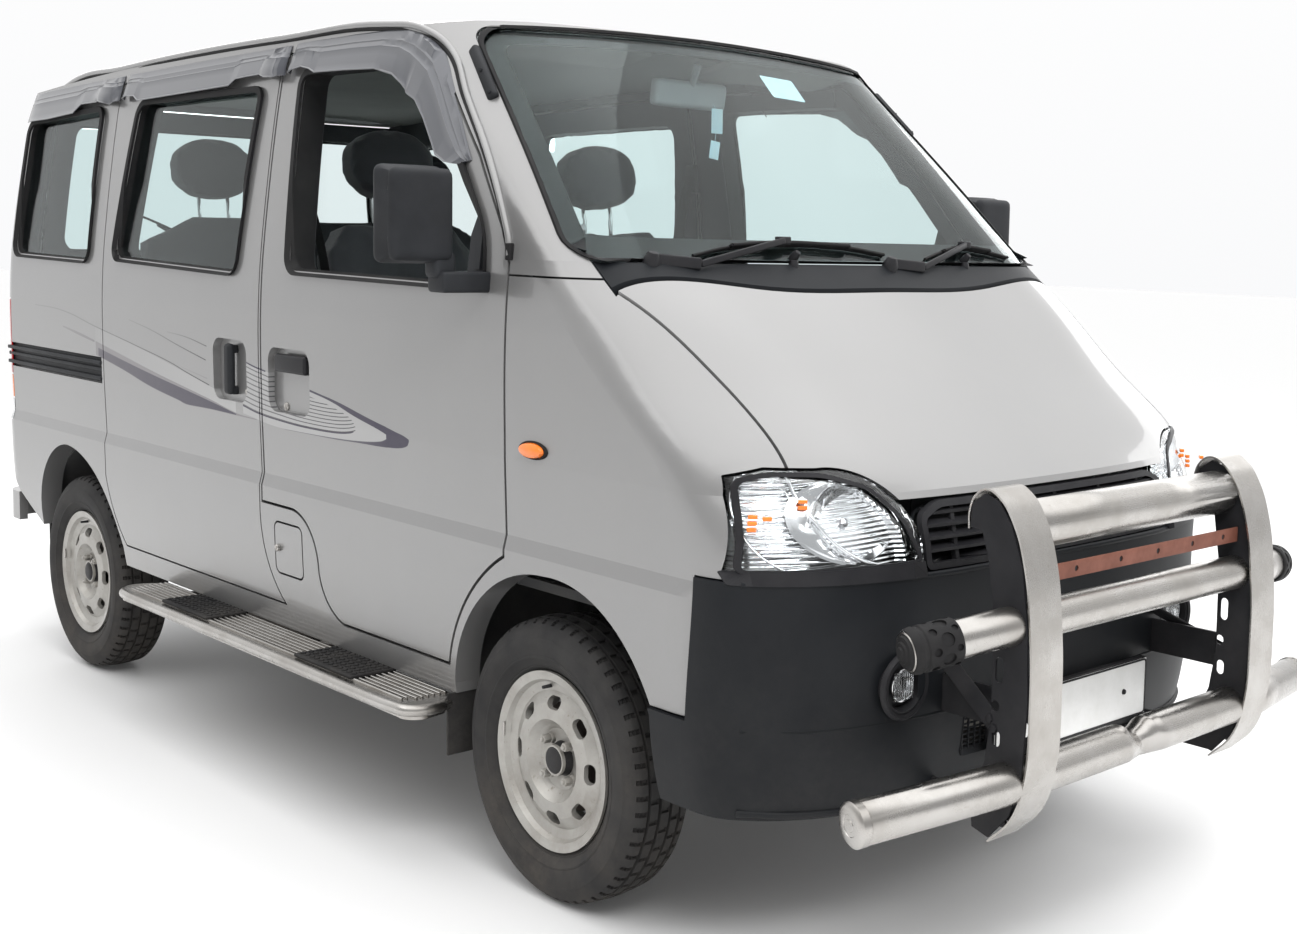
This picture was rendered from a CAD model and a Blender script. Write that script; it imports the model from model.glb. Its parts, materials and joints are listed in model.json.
import json
import math

import bmesh
import bpy
from mathutils import Matrix, Vector
from mathutils.bvhtree import BVHTree


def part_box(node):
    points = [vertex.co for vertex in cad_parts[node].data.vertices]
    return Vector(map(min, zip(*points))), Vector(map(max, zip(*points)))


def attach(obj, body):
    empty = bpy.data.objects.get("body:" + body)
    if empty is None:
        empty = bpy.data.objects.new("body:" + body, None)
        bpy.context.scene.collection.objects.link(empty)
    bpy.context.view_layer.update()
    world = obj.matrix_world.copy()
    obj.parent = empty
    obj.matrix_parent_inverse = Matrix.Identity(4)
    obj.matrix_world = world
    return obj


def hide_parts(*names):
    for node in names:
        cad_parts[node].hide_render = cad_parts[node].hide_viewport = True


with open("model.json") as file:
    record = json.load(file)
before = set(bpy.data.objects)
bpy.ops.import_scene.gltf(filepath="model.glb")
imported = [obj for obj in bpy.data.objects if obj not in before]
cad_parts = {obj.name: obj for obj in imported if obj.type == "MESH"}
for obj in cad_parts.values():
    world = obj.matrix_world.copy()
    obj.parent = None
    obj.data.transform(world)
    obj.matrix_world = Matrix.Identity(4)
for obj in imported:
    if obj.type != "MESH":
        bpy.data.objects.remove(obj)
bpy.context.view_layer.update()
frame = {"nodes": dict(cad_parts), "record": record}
nodes = frame["nodes"]
record = frame["record"]

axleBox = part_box("tyre_front_right")
frontAxleY = (axleBox[0].y + axleBox[1].y) / 2


def at(x, s, z):  # a place in mm: x to the left, s behind the front axle, z up
    return Vector((x / 1000, frontAxleY + s / 1000, z / 1000))


# shader node groups
def newGroup(name, inputs, outputs):
    group = bpy.data.node_groups.new(name, "ShaderNodeTree")
    for label, kind, value in inputs:
        socket = group.interface.new_socket(name=label, in_out="INPUT", socket_type=kind)
        if value is not None:
            socket.default_value = value
    for label, kind in outputs:
        group.interface.new_socket(name=label, in_out="OUTPUT", socket_type=kind)
    return group, group.nodes.new("NodeGroupInput"), group.nodes.new("NodeGroupOutput")


def addMath(tree, operation, a, b=None, c=None, clamp=False):
    node = tree.nodes.new("ShaderNodeMath")
    node.operation = operation
    node.use_clamp = clamp
    for i, value in enumerate((a, b, c)):
        if value is None:
            continue
        if isinstance(value, (int, float)):
            node.inputs[i].default_value = value
        else:
            tree.links.new(value, node.inputs[i])
    return node.outputs[0]


def addMix(tree, factor, a, b):
    node = tree.nodes.new("ShaderNodeMix")
    node.data_type = "RGBA"
    for socket, value in ((node.inputs[0], factor), (node.inputs[6], a), (node.inputs[7], b)):
        if isinstance(value, (int, float)):
            socket.default_value = value
        elif isinstance(value, tuple):
            socket.default_value = (*value[:3], 1)
        else:
            tree.links.new(value, socket)
    return node.outputs[2]


def addNoise(tree, vector, scale, detail=3.0, roughness=0.55):
    node = tree.nodes.new("ShaderNodeTexNoise")
    node.inputs["Scale"].default_value = scale
    node.inputs["Detail"].default_value = detail
    node.inputs["Roughness"].default_value = roughness
    tree.links.new(vector, node.inputs["Vector"])
    return node.outputs["Fac"]


def addRange(tree, value, low, high, toLow=0.0, toHigh=1.0):
    node = tree.nodes.new("ShaderNodeMapRange")
    for i, part in enumerate((low, high, toLow, toHigh)):
        node.inputs[i + 1].default_value = part
    tree.links.new(value, node.inputs[0])
    return node.outputs[0]


# camera, light and floor
cameraSet = {
    "place": (-2.5681, -3.5968, 1.3432),
    "right": (0.69818, -0.71542, 0.02674),
    "up": (0.05325, 0.08914, 0.99459),
    "lens": 45.01,
    "shift": (-0.15, -0.05),
}
studio = {
    "skyTop": (1.0, 1.0, 1.0, 1),
    "skyLow": (0.93, 0.935, 0.95, 1),
    "skyPower": 1.0, "dimPower": 0.55, "zenithPower": 1.95, "brightSide": (0.62, 0.72, 0.30),
    "floorColour": (0.62, 0.62, 0.62, 1),
    "unseen": ("keyLight", "frontLight", "topLight"),
    # name, place, size, power, what it points at
    "lamps": [
        ("keyLight", (-2.0, -5.0, 5.2), (3.6, 2.4), 260, (0, -1.0, 0.9)),
        ("sideLight", (-4.4, 1.2, 4.4), (4.2, 1.2), 16, (-0.7, 0.6, 1.3)),
        ("frontLight", (2.4, -5.6, 3.2), (3.0, 2.0), 50, (0, -1.6, 0.6)),
        ("topLight", (0.2, 0.3, 5.2), (3.4, 5.2), 150, (0, 0, 1.0)),
        ("rearLight", (2.2, 5.6, 2.8), (3.2, 2.0), 50, (0, 1.4, 0.9)),
        ("leftLight", (5.2, -0.4, 2.6), (4.6, 1.8), 50, (0.6, 0, 0.8)),
    ],
}


def makeCamera():
    data = bpy.data.cameras.new("camera")
    data.lens = cameraSet["lens"]
    data.sensor_width = 36
    data.shift_x, data.shift_y = cameraSet["shift"]
    data.clip_end = 100
    camera = bpy.data.objects.new("camera", data)
    bpy.context.collection.objects.link(camera)
    right, up = Vector(cameraSet["right"]), Vector(cameraSet["up"])
    turn = Matrix((right, up, right.cross(up))).transposed()
    camera.matrix_world = Matrix.Translation(cameraSet["place"]) @ turn.to_4x4()
    bpy.context.scene.camera = camera


def makeStudio():
    world = bpy.data.worlds.new("studioWorld")
    world.use_nodes = True
    tree = world.node_tree
    background = tree.nodes["Background"]
    coord = tree.nodes.new("ShaderNodeTexCoord")
    split = tree.nodes.new("ShaderNodeSeparateXYZ")
    ramp = tree.nodes.new("ShaderNodeValToRGB")
    ramp.color_ramp.elements[0].position = 0.42
    ramp.color_ramp.elements[0].color = studio["skyLow"]
    ramp.color_ramp.elements[1].position = 0.62
    ramp.color_ramp.elements[1].color = studio["skyTop"]
    lift = tree.nodes.new("ShaderNodeMath")
    lift.operation = "MULTIPLY_ADD"
    lift.inputs[1].default_value = 0.5
    lift.inputs[2].default_value = 0.5
    tree.links.new(coord.outputs["Generated"], split.inputs[0])
    tree.links.new(split.outputs["Z"], lift.inputs[0])
    tree.links.new(lift.outputs[0], ramp.inputs[0])
    tree.links.new(ramp.outputs[0], background.inputs["Color"])
    turn = tree.nodes.new("ShaderNodeVectorMath")
    turn.operation = "DOT_PRODUCT"
    turn.inputs[1].default_value = studio["brightSide"]
    tree.links.new(coord.outputs["Generated"], turn.inputs[0])
    side = addRange(tree, turn.outputs["Value"], -0.35, 0.45, studio["dimPower"], 1.0)
    high = addRange(tree, split.outputs["Z"], 0.35, 0.75)
    high = addMath(tree, "MULTIPLY", high, studio["zenithPower"])
    power = addMath(tree, "MULTIPLY", addMath(tree, "MAXIMUM", side, high), studio["skyPower"])
    tree.links.new(power, background.inputs["Strength"])
    bpy.context.scene.world = world

    for name, place, size, power, target in studio["lamps"]:
        light = bpy.data.lights.new(name, "AREA")
        light.shape = "RECTANGLE"
        light.size, light.size_y = size
        light.energy = power
        light.cycles.is_caustics_light = False
        lamp = bpy.data.objects.new(name, light)
        bpy.context.collection.objects.link(lamp)
        lamp.location = place
        lamp.visible_glossy = name not in studio["unseen"]
        lamp.rotation_euler = (Vector(target) - Vector(place)).to_track_quat("-Z", "Y").to_euler()

    floorMesh = bmesh.new()
    bmesh.ops.create_grid(floorMesh, x_segments=2, y_segments=2, size=40)
    data = bpy.data.meshes.new("floor")
    floorMesh.to_mesh(data)
    floorMesh.free()
    floor = bpy.data.objects.new("floor", data)
    bpy.context.collection.objects.link(floor)
    material = bpy.data.materials.new("floorPale")
    material.use_nodes = True
    shader = material.node_tree.nodes["Principled BSDF"]
    shader.inputs["Base Color"].default_value = studio["floorColour"]
    shader.inputs["Roughness"].default_value = 0.6
    shader.inputs["Emission Color"].default_value = studio["floorColour"]
    shader.inputs["Emission Strength"].default_value = 0.05
    data.materials.append(material)


makeCamera()
makeStudio()
scene = bpy.context.scene
scene.view_settings.view_transform = "Standard"
scene.cycles.max_bounces = 10
scene.cycles.transparent_max_bounces = 16
print("stage: camera and studio made")


def makeDustGroup():
    group, start, end = newGroup(
        "roadDust",
        [("Colour", "NodeSocketColor", None), ("Dust", "NodeSocketColor", (0.36, 0.33, 0.29, 1)),
         ("Amount", "NodeSocketFloat", 0.3), ("Top", "NodeSocketFloat", 0.6),
         ("Rough", "NodeSocketFloat", 0.4)],
        [("Colour", "NodeSocketColor"), ("Roughness", "NodeSocketFloat")],
    )
    coord = group.nodes.new("ShaderNodeTexCoord")
    split = group.nodes.new("ShaderNodeSeparateXYZ")
    group.links.new(coord.outputs["Object"], split.inputs[0])
    low = addMath(group, "DIVIDE", split.outputs["Z"], start.outputs["Top"], clamp=True)
    low = addMath(group, "SUBTRACT", 1.0, low, clamp=True)
    patch = addNoise(group, coord.outputs["Object"], 7.0, 5.0, 0.6)
    fine = addNoise(group, coord.outputs["Object"], 60.0, 4.0, 0.7)
    blot = addMath(group, "MULTIPLY", addRange(group, patch, 0.3, 0.7), addRange(group, fine, 0.3, 0.75, 0.4, 1.0))
    share = addMath(group, "MULTIPLY", addMath(group, "ADD", low, 0.12), blot)
    share = addMath(group, "MULTIPLY", share, start.outputs["Amount"], clamp=True)
    group.links.new(addMix(group, share, start.outputs["Colour"], start.outputs["Dust"]), end.inputs["Colour"])
    rough = addMath(group, "MULTIPLY_ADD", share, 0.5, start.outputs["Rough"], clamp=True)
    group.links.new(rough, end.inputs["Roughness"])
    return group


def makeGrainGroup():
    group, start, end = newGroup(
        "mouldedGrain",
        [("Scale", "NodeSocketFloat", 900.0), ("Height", "NodeSocketFloat", 0.3)],
        [("Height", "NodeSocketFloat")],
    )
    coord = group.nodes.new("ShaderNodeTexCoord")
    cells = group.nodes.new("ShaderNodeTexVoronoi")
    cells.feature = "SMOOTH_F1"
    group.links.new(coord.outputs["Object"], cells.inputs["Vector"])
    group.links.new(start.outputs["Scale"], cells.inputs["Scale"])
    soft = addNoise(group, coord.outputs["Object"], 240.0, 4.0)
    height = addMath(group, "ADD", addMath(group, "MULTIPLY", cells.outputs["Distance"], 0.6), soft)
    height = addMath(group, "MULTIPLY", height, start.outputs["Height"])
    group.links.new(height, end.inputs["Height"])
    return group


def makeVaryGroup():
    group, start, end = newGroup(
        "toneShift",
        [("Colour", "NodeSocketColor", None), ("Other", "NodeSocketColor", None),
         ("Amount", "NodeSocketFloat", 0.5), ("Scale", "NodeSocketFloat", 4.0)],
        [("Colour", "NodeSocketColor"), ("Mask", "NodeSocketFloat")],
    )
    coord = group.nodes.new("ShaderNodeTexCoord")
    noise = group.nodes.new("ShaderNodeTexNoise")
    noise.inputs["Detail"].default_value = 6
    noise.inputs["Roughness"].default_value = 0.62
    group.links.new(coord.outputs["Object"], noise.inputs["Vector"])
    group.links.new(start.outputs["Scale"], noise.inputs["Scale"])
    mask = addRange(group, noise.outputs["Fac"], 0.36, 0.66)
    share = addMath(group, "MULTIPLY", mask, start.outputs["Amount"], clamp=True)
    group.links.new(addMix(group, share, start.outputs["Colour"], start.outputs["Other"]), end.inputs["Colour"])
    group.links.new(mask, end.inputs["Mask"])
    return group


dustGroup = makeDustGroup()
grainGroup = makeGrainGroup()
varyGroup = makeVaryGroup()


def useGroup(tree, group, **values):
    node = tree.nodes.new("ShaderNodeGroup")
    node.node_tree = group
    for label, value in values.items():
        socket = node.inputs[label]
        if isinstance(value, (int, float)):
            socket.default_value = value
        elif isinstance(value, tuple):
            socket.default_value = (*value[:3], 1)
        else:
            tree.links.new(value, socket)
    return node


def newMaterial(name, **values):
    material = bpy.data.materials.new(name)
    material.use_nodes = True
    tree = material.node_tree
    shader = tree.nodes["Principled BSDF"]
    for label, value in values.items():
        socket = shader.inputs[label.replace("_", " ")]
        socket.default_value = (*value, 1) if isinstance(value, tuple) and len(value) == 3 else value
    return material, tree, shader


def addBump(tree, shader, height, strength, distance=0.001):
    bump = tree.nodes.new("ShaderNodeBump")
    bump.inputs["Strength"].default_value = strength
    bump.inputs["Distance"].default_value = distance
    tree.links.new(height, bump.inputs["Height"])
    tree.links.new(bump.outputs["Normal"], shader.inputs["Normal"])


def objectCoord(tree):
    coord = tree.nodes.new("ShaderNodeTexCoord")
    split = tree.nodes.new("ShaderNodeSeparateXYZ")
    tree.links.new(coord.outputs["Object"], split.inputs[0])
    return coord.outputs["Object"], split.outputs["X"], split.outputs["Y"], split.outputs["Z"]


# paints and plastics
finishes = {
    "silver": {"colour": (0.245, 0.243, 0.242), "shade": (0.21, 0.21, 0.21), "metal": 0.55, "rough": 0.33},
    "bumper": {"colour": (0.0060, 0.0070, 0.0088), "worn": (0.010, 0.0115, 0.0135), "rough": 0.48},
    "trim": {"colour": (0.012, 0.012, 0.014), "worn": (0.03, 0.03, 0.032), "rough": 0.38},
    "steel": {"colour": (0.50, 0.485, 0.465), "stain": (0.27, 0.245, 0.215), "rough": 0.2},
    "wheel": {"colour": (0.42, 0.41, 0.385), "stain": (0.16, 0.13, 0.10), "rough": 0.38},
    "tyre": {"colour": (0.012, 0.012, 0.013), "worn": (0.030, 0.029, 0.028), "rough": 0.72},
    "glass": (0.78, 0.875, 0.872),
    "stripeDark": (0.030, 0.025, 0.048),
    "stripeLine": (0.045, 0.043, 0.05),
    "stripeFaint": (0.13, 0.115, 0.13),
    "stripePale": (0.38, 0.38, 0.38),
}


def makePaint(name, striped=0):
    spec = finishes["silver"]
    material, tree, shader = newMaterial(
        name, Metallic=spec["metal"], IOR=1.5, Coat_Weight=0.85, Coat_Roughness=0.05)
    place, x, y, z = objectCoord(tree)
    tone = useGroup(tree, varyGroup, Colour=spec["colour"], Other=spec["shade"], Amount=0.25, Scale=2.2)
    flake = addNoise(tree, place, 1900.0, 2.0, 0.8)
    colour = addMix(tree, addRange(tree, flake, 0.35, 0.8, 0.0, 0.22), tone.outputs["Colour"], (0.40, 0.40, 0.405))
    if striped:
        colour, cover = addStripes(tree, colour, x, y, z)
        tree.links.new(addRange(tree, cover, 0.0, 1.0, spec["metal"], 0.0), shader.inputs["Metallic"])
        tree.links.new(addRange(tree, cover, 0.0, 1.0, 0.85, 0.25), shader.inputs["Coat Weight"])
        tree.links.new(addRange(tree, cover, 0.0, 1.0, 0.5, 0.2), shader.inputs["Specular IOR Level"])
    dust = useGroup(tree, dustGroup, Colour=colour, Dust=(0.33, 0.31, 0.28), Amount=0.5, Top=0.62,
                    Rough=spec["rough"])
    tree.links.new(dust.outputs["Colour"], shader.inputs["Base Color"])
    tree.links.new(dust.outputs["Roughness"], shader.inputs["Roughness"])
    addBump(tree, shader, addMath(tree, "MULTIPLY", addNoise(tree, place, 260.0, 2.0), 0.2), 0.12, 0.0006)
    return material


def addCurve(tree, value, points):
    node = tree.nodes.new("ShaderNodeFloatCurve")
    curve = node.mapping.curves[0]
    curve.points[0].location = points[0]
    curve.points[1].location = points[-1]
    for point in points[1:-1]:
        curve.points.new(*point)
    for point in curve.points:
        point.handle_type = "AUTO_CLAMPED"
    node.mapping.update()
    tree.links.new(value, node.inputs["Value"])
    return node.outputs[0]


# the stripes along the doors: outlines and lines as places behind the front axle and heights
stripes = {
    "front": 430, "back": 2700, "base": 800, "tall": 320, "skin": 0.7205,
    # lower edge, upper edge, tone, strength at the front end and at the back end
    "bands": [
        ([(569, 880), (598, 872), (692, 863), (795, 858), (1039, 855), (1253, 872)],
         [(569, 889), (594, 895), (705, 916), (821, 942), (928, 957), (1253, 1004)], "stripePale", 0.7, 0.7),
        ([(1293, 870), (1571, 909), (1761, 934), (1962, 965), (2168, 996)],
         [(1293, 900), (1445, 926), (1573, 948), (1878, 996), (2168, 1035)], "stripePale", 0.75, 0.15),
        ([(1183, 862), (1293, 863), (1450, 865), (1562, 864), (1631, 872), (1791, 892), (1978, 925), (2168, 954)],
         [(1183, 864), (1293, 869), (1422, 889), (1571, 908), (1761, 933), (1962, 963), (2168, 994)],
         "stripeFaint", 0.8, 0.7),
        ([(1293, 864), (1450, 866), (1562, 865), (1631, 873), (1791, 893), (1978, 926), (2150, 953)],
         [(1293, 867), (1422, 884), (1571, 902), (1761, 924), (1962, 950), (2150, 976)], "stripeDark", 1.0, 0.75),
        ([(2176, 990), (2288, 1004), (2409, 1021)], [(2176, 996), (2289, 1012), (2409, 1025)],
         "stripeFaint", 0.9, 0.5),
        ([(477, 882), (481, 875), (518, 865), (571, 861)], [(477, 888), (498, 894), (530, 899), (571, 906)],
         "stripeDark", 1.0, 1.0),
        ([(569, 889), (594, 895), (705, 916), (821, 942), (928, 957)],
         [(569, 906), (627, 915), (798, 945), (860, 953), (928, 962)], "stripeDark", 1.0, 1.0),
        ([(569, 861), (592, 860), (692, 858), (795, 855), (914, 854), (1039, 853)],
         [(569, 880), (576, 877), (598, 871), (692, 862), (795, 858), (1039, 854)], "stripeDark", 1.0, 0.5),
    ],
    # places, half width, tone, strength at the front end and at the back end
    "lines": [
        ([(712, 882), (726, 878), (795, 871), (915, 869), (1065, 873), (1171, 880), (1253, 892)], 2.0,
         "stripeDark", 1, 1),
        ([(1130, 986), (1182, 992), (1256, 1005)], 2.0, "stripeDark", 1, 1),
        ([(1440, 927), (1573, 950), (1666, 968), (1878, 998), (2160, 1035), (2440, 1072), (2629, 1077)], 1.5,
         "stripeLine", 1, 0.25),
        ([(1456, 990), (1622, 1018), (1798, 1050), (1932, 1068)], 1.5, "stripeLine", 1, 0.2),
        ([(1450, 1026), (1577, 1043), (1685, 1049)], 1.4, "stripeLine", 0.9, 0.2),
        ([(1450, 943), (1604, 962)], 1.3, "stripeFaint", 0.6, 0.2),
    ],
    # the hatched field: lower edge, upper edge and the hatch lines' pitch
    "hatchLow": [(704, 884), (726, 879), (795, 872), (915, 870), (1065, 874), (1171, 881), (1253, 893)],
    "hatchHigh": [(704, 893), (728, 911), (821, 931), (927, 946), (1138, 982), (1253, 1000)],
    "pitch": [(704, 8.4), (923, 9.0), (1153, 12.2), (1253, 12.4)],
}


def addStripes(tree, colour, x, y, z):
    spec = stripes
    start, reach = frontAxleY + spec["front"] / 1000, (spec["back"] - spec["front"]) / 1000
    along = addRange(tree, y, start, start + reach)
    up = addRange(tree, z, spec["base"] / 1000, (spec["base"] + spec["tall"]) / 1000)
    outward = addMath(tree, "GREATER_THAN", addMath(tree, "ABSOLUTE", x), spec["skin"])

    def share(s):
        return (s - spec["front"]) / (spec["back"] - spec["front"])

    def height(points):
        return addCurve(tree, along, [(share(s), (h - spec["base"]) / spec["tall"]) for s, h in points])

    def fade(points, front, back):
        low, high = share(points[0][0]), share(points[-1][0])
        within = addMath(tree, "MULTIPLY", addMath(tree, "GREATER_THAN", along, low),
                         addMath(tree, "LESS_THAN", along, high))
        within = addMath(tree, "MULTIPLY", within, outward)
        return addMath(tree, "MULTIPLY", within, addRange(tree, along, low, high, front, back))

    cover = 0.0
    for low, high, tone, front, back in spec["bands"]:
        mask = addMath(tree, "MULTIPLY", addMath(tree, "GREATER_THAN", up, height(low)),
                       addMath(tree, "LESS_THAN", up, height(high)))
        mask = addMath(tree, "MULTIPLY", mask, fade(low, front, back))
        colour = addMix(tree, mask, colour, finishes[tone])
        if tone == "stripeDark":
            cover = addMath(tree, "MAXIMUM", cover, mask)
    for points, half, tone, front, back in spec["lines"]:
        away = addMath(tree, "ABSOLUTE", addMath(tree, "SUBTRACT", up, height(points)))
        mask = addMath(tree, "LESS_THAN", away, half / spec["tall"])
        mask = addMath(tree, "MULTIPLY", mask, fade(points, front, back))
        colour = addMix(tree, mask, colour, finishes[tone])
        cover = addMath(tree, "MAXIMUM", cover, mask)
    low = height(spec["hatchLow"])
    field = addMath(tree, "MULTIPLY", addMath(tree, "GREATER_THAN", up, low),
                    addMath(tree, "LESS_THAN", up, height(spec["hatchHigh"])))
    pitch = addCurve(tree, along, [(share(s), gap / 20) for s, gap in spec["pitch"]])
    pitch = addMath(tree, "MULTIPLY", pitch, 20 / spec["tall"])
    row = addMath(tree, "FRACT", addMath(tree, "DIVIDE", addMath(tree, "SUBTRACT", up, low), pitch))
    hatch = addMath(tree, "MULTIPLY", addMath(tree, "LESS_THAN", row, 0.26), field)
    hatch = addMath(tree, "MULTIPLY", hatch, fade(spec["hatchLow"], 1, 0.8))
    cover = addMath(tree, "MAXIMUM", cover, hatch)
    return addMix(tree, hatch, colour, finishes["stripeLine"]), cover


def makeMoulded(name, spec, scale=900.0, bump=0.25, dust=0.35, top=0.7, gloss=0.15):
    material, tree, shader = newMaterial(name, IOR=1.5, Specular_IOR_Level=gloss)
    tone = useGroup(tree, varyGroup, Colour=spec["colour"], Other=spec["worn"], Amount=0.6, Scale=5.0)
    grime = useGroup(tree, dustGroup, Colour=tone.outputs["Colour"], Dust=(0.17, 0.155, 0.14), Amount=dust,
                     Top=top, Rough=spec["rough"])
    tree.links.new(grime.outputs["Colour"], shader.inputs["Base Color"])
    tree.links.new(grime.outputs["Roughness"], shader.inputs["Roughness"])
    grain = useGroup(tree, grainGroup, Scale=scale, Height=1.0)
    addBump(tree, shader, grain.outputs["Height"], bump, 0.0005)
    return material


def makeSteel(name, stretch=(1.0, 60.0, 60.0), spec=finishes["steel"]):
    material, tree, shader = newMaterial(name, Metallic=1.0)
    place, x, y, z = objectCoord(tree)
    tone = useGroup(tree, varyGroup, Colour=spec["colour"], Other=spec["stain"], Amount=0.42, Scale=9.0)
    spots = addNoise(tree, place, 90.0, 5.0, 0.7)
    pitted = addRange(tree, spots, 0.66, 0.74, 0.0, 0.6)
    tree.links.new(addMix(tree, pitted, tone.outputs["Colour"], (0.16, 0.11, 0.07)), shader.inputs["Base Color"])
    mapping = tree.nodes.new("ShaderNodeMapping")
    mapping.inputs["Scale"].default_value = stretch
    tree.links.new(place, mapping.inputs["Vector"])
    brush = addNoise(tree, mapping.outputs[0], 26.0, 4.0, 0.7)
    rough = addMath(tree, "MULTIPLY_ADD", brush, 0.18, spec["rough"] - 0.06)
    rough = addMath(tree, "MULTIPLY_ADD", tone.outputs["Mask"], 0.1, rough)
    tree.links.new(rough, shader.inputs["Roughness"])
    addBump(tree, shader, brush, 0.12, 0.0006)
    return material


def makeGlass(name, colour, roughness=0.0, ior=1.45, ribs=0.0):
    material, tree, shader = newMaterial(
        name, Base_Color=colour, Roughness=roughness, IOR=ior, Transmission_Weight=1.0)
    if ribs:
        place, x, y, z = objectCoord(tree)
        wave = addMath(tree, "SINE", addMath(tree, "MULTIPLY", x, ribs))
        addBump(tree, shader, wave, 0.5, 0.002)
    return material


def makeTyreRubber():
    spec = finishes["tyre"]
    material, tree, shader = newMaterial("tyreRubber", IOR=1.5, Specular_IOR_Level=0.35)
    place, x, y, z = objectCoord(tree)
    tone = useGroup(tree, varyGroup, Colour=spec["colour"], Other=spec["worn"], Amount=0.8, Scale=11.0)
    grime = useGroup(tree, dustGroup, Colour=tone.outputs["Colour"], Dust=(0.12, 0.105, 0.09), Amount=0.55,
                     Top=0.55, Rough=spec["rough"])
    tree.links.new(grime.outputs["Colour"], shader.inputs["Base Color"])
    tree.links.new(grime.outputs["Roughness"], shader.inputs["Roughness"])
    addBump(tree, shader, addNoise(tree, place, 420.0, 4.0), 0.2, 0.0006)
    return material


def makeCloth(name, colour, thread, pitch=0.0021):
    material, tree, shader = newMaterial(name, Roughness=0.85, Sheen_Weight=0.35, Sheen_Roughness=0.5)
    place, x, y, z = objectCoord(tree)
    across = addMath(tree, "SINE", addMath(tree, "MULTIPLY", x, 2 * math.pi / pitch))
    run = addMath(tree, "SINE", addMath(tree, "MULTIPLY", addMath(tree, "ADD", y, z), 2 * math.pi / pitch))
    weave = addMath(tree, "MULTIPLY_ADD", addMath(tree, "MULTIPLY", across, run), 0.5, 0.5)
    tone = useGroup(tree, varyGroup, Colour=colour, Other=thread, Amount=0.5, Scale=14.0)
    mixed = addMix(tree, addMath(tree, "MULTIPLY", weave, 0.55), tone.outputs["Colour"], thread)
    tree.links.new(mixed, shader.inputs["Base Color"])
    addBump(tree, shader, weave, 0.35, 0.0006)
    return material


def makeWheelPaint():
    spec = finishes["wheel"]
    material, tree, shader = newMaterial("wheelPaint", Metallic=0.55, Coat_Weight=0.25)
    place, x, y, z = objectCoord(tree)
    tone = useGroup(tree, varyGroup, Colour=spec["colour"], Other=(0.30, 0.285, 0.26), Amount=0.6, Scale=16.0)
    spots = addRange(tree, addNoise(tree, place, 70.0, 5.0, 0.72), 0.62, 0.72, 0.0, 0.75)
    grime = useGroup(tree, dustGroup, Colour=addMix(tree, spots, tone.outputs["Colour"], spec["stain"]),
                     Dust=(0.20, 0.17, 0.14), Amount=0.6, Top=0.6, Rough=spec["rough"])
    tree.links.new(grime.outputs["Colour"], shader.inputs["Base Color"])
    tree.links.new(grime.outputs["Roughness"], shader.inputs["Roughness"])
    addBump(tree, shader, addNoise(tree, place, 300.0, 3.0), 0.15, 0.0006)
    return material


silver = makePaint("silverPaint")
silverStriped = makePaint("silverPaintStriped", striped=1)
bumperPlastic = makeMoulded("bumperPlastic", finishes["bumper"], dust=0.12, gloss=0.2)
blackPlastic = makeMoulded("blackPlastic", finishes["trim"], 1200.0, 0.15, 0.25)
cabinPlastic = makeMoulded(
    "cabinPlastic", {"colour": (0.10, 0.105, 0.11), "worn": (0.13, 0.135, 0.14), "rough": 0.55}, 1500.0, 0.2, 0.1)
rubber = makeMoulded("blackRubber", {"colour": (0.010, 0.010, 0.011), "worn": (0.022, 0.022, 0.022), "rough": 0.6},
                     2000.0, 0.1, 0.4)
underPaint = makeMoulded(
    "underbodyPaint", {"colour": (0.016, 0.015, 0.014), "worn": (0.05, 0.035, 0.025), "rough": 0.7},
    300.0, 0.3, 0.9, 0.9)
engineIron = makeMoulded("engineIron", {"colour": (0.10, 0.095, 0.09), "worn": (0.16, 0.12, 0.09), "rough": 0.6},
                         300.0, 0.4, 0.6, 0.9)
floorPaint = makeMoulded("floorMat", {"colour": (0.035, 0.036, 0.038), "worn": (0.06, 0.058, 0.055), "rough": 0.8},
                         700.0, 0.4, 0.5, 0.7)
headLining = makeMoulded("headLining", {"colour": (0.30, 0.30, 0.29), "worn": (0.25, 0.25, 0.24), "rough": 0.9},
                         1600.0, 0.3, 0.0)
smoke = makeMoulded("smokeVisor", {"colour": (0.085, 0.088, 0.11), "worn": (0.10, 0.105, 0.13), "rough": 0.16},
                    500.0, 0.02, 0.0)
steel = makeSteel("polishedSteel")
steelUpright = makeSteel("polishedSteelUpright", (60.0, 60.0, 1.0))
wheelPaint = makeWheelPaint()
tyreRubber = makeTyreRubber()
tintedGlass = makeGlass("tintedGlass", finishes["glass"], ior=1.22)
lampGlass = makeGlass("lampGlass", (0.95, 0.97, 0.98), 0.02)
redLens = makeGlass("redLens", (0.75, 0.012, 0.012), 0.08)
seatCloth = makeCloth("seatCloth", (0.030, 0.034, 0.038), (0.055, 0.06, 0.066))
bySlot = {
    "silver_paint": silver, "wheel_silver": wheelPaint, "bare_plastic": bumperPlastic,
    "black_trim": blackPlastic, "smoke_plastic": smoke, "polished_steel": steel, "black_steel": blackPlastic,
    "clear_glass": tintedGlass, "lamp_clear": lampGlass, "lamp_red": redLens, "tyre_rubber": tyreRubber,
    "flap_rubber": rubber, "seat_fabric": seatCloth, "cabin_plastic": cabinPlastic,
    "underbody_paint": underPaint, "engine_iron": engineIron, "floor_paint": floorPaint,
}
byNode = {
    "front_door_right": silverStriped, "front_door_left": silverStriped, "sliding_doors": silverStriped,
    "side_frame_right": silverStriped, "side_frame_left": silverStriped, "guard_uprights": steelUpright,
}
slotOf = {part["node"]: part["material_slot"] for part in record["subparts"]}


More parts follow.
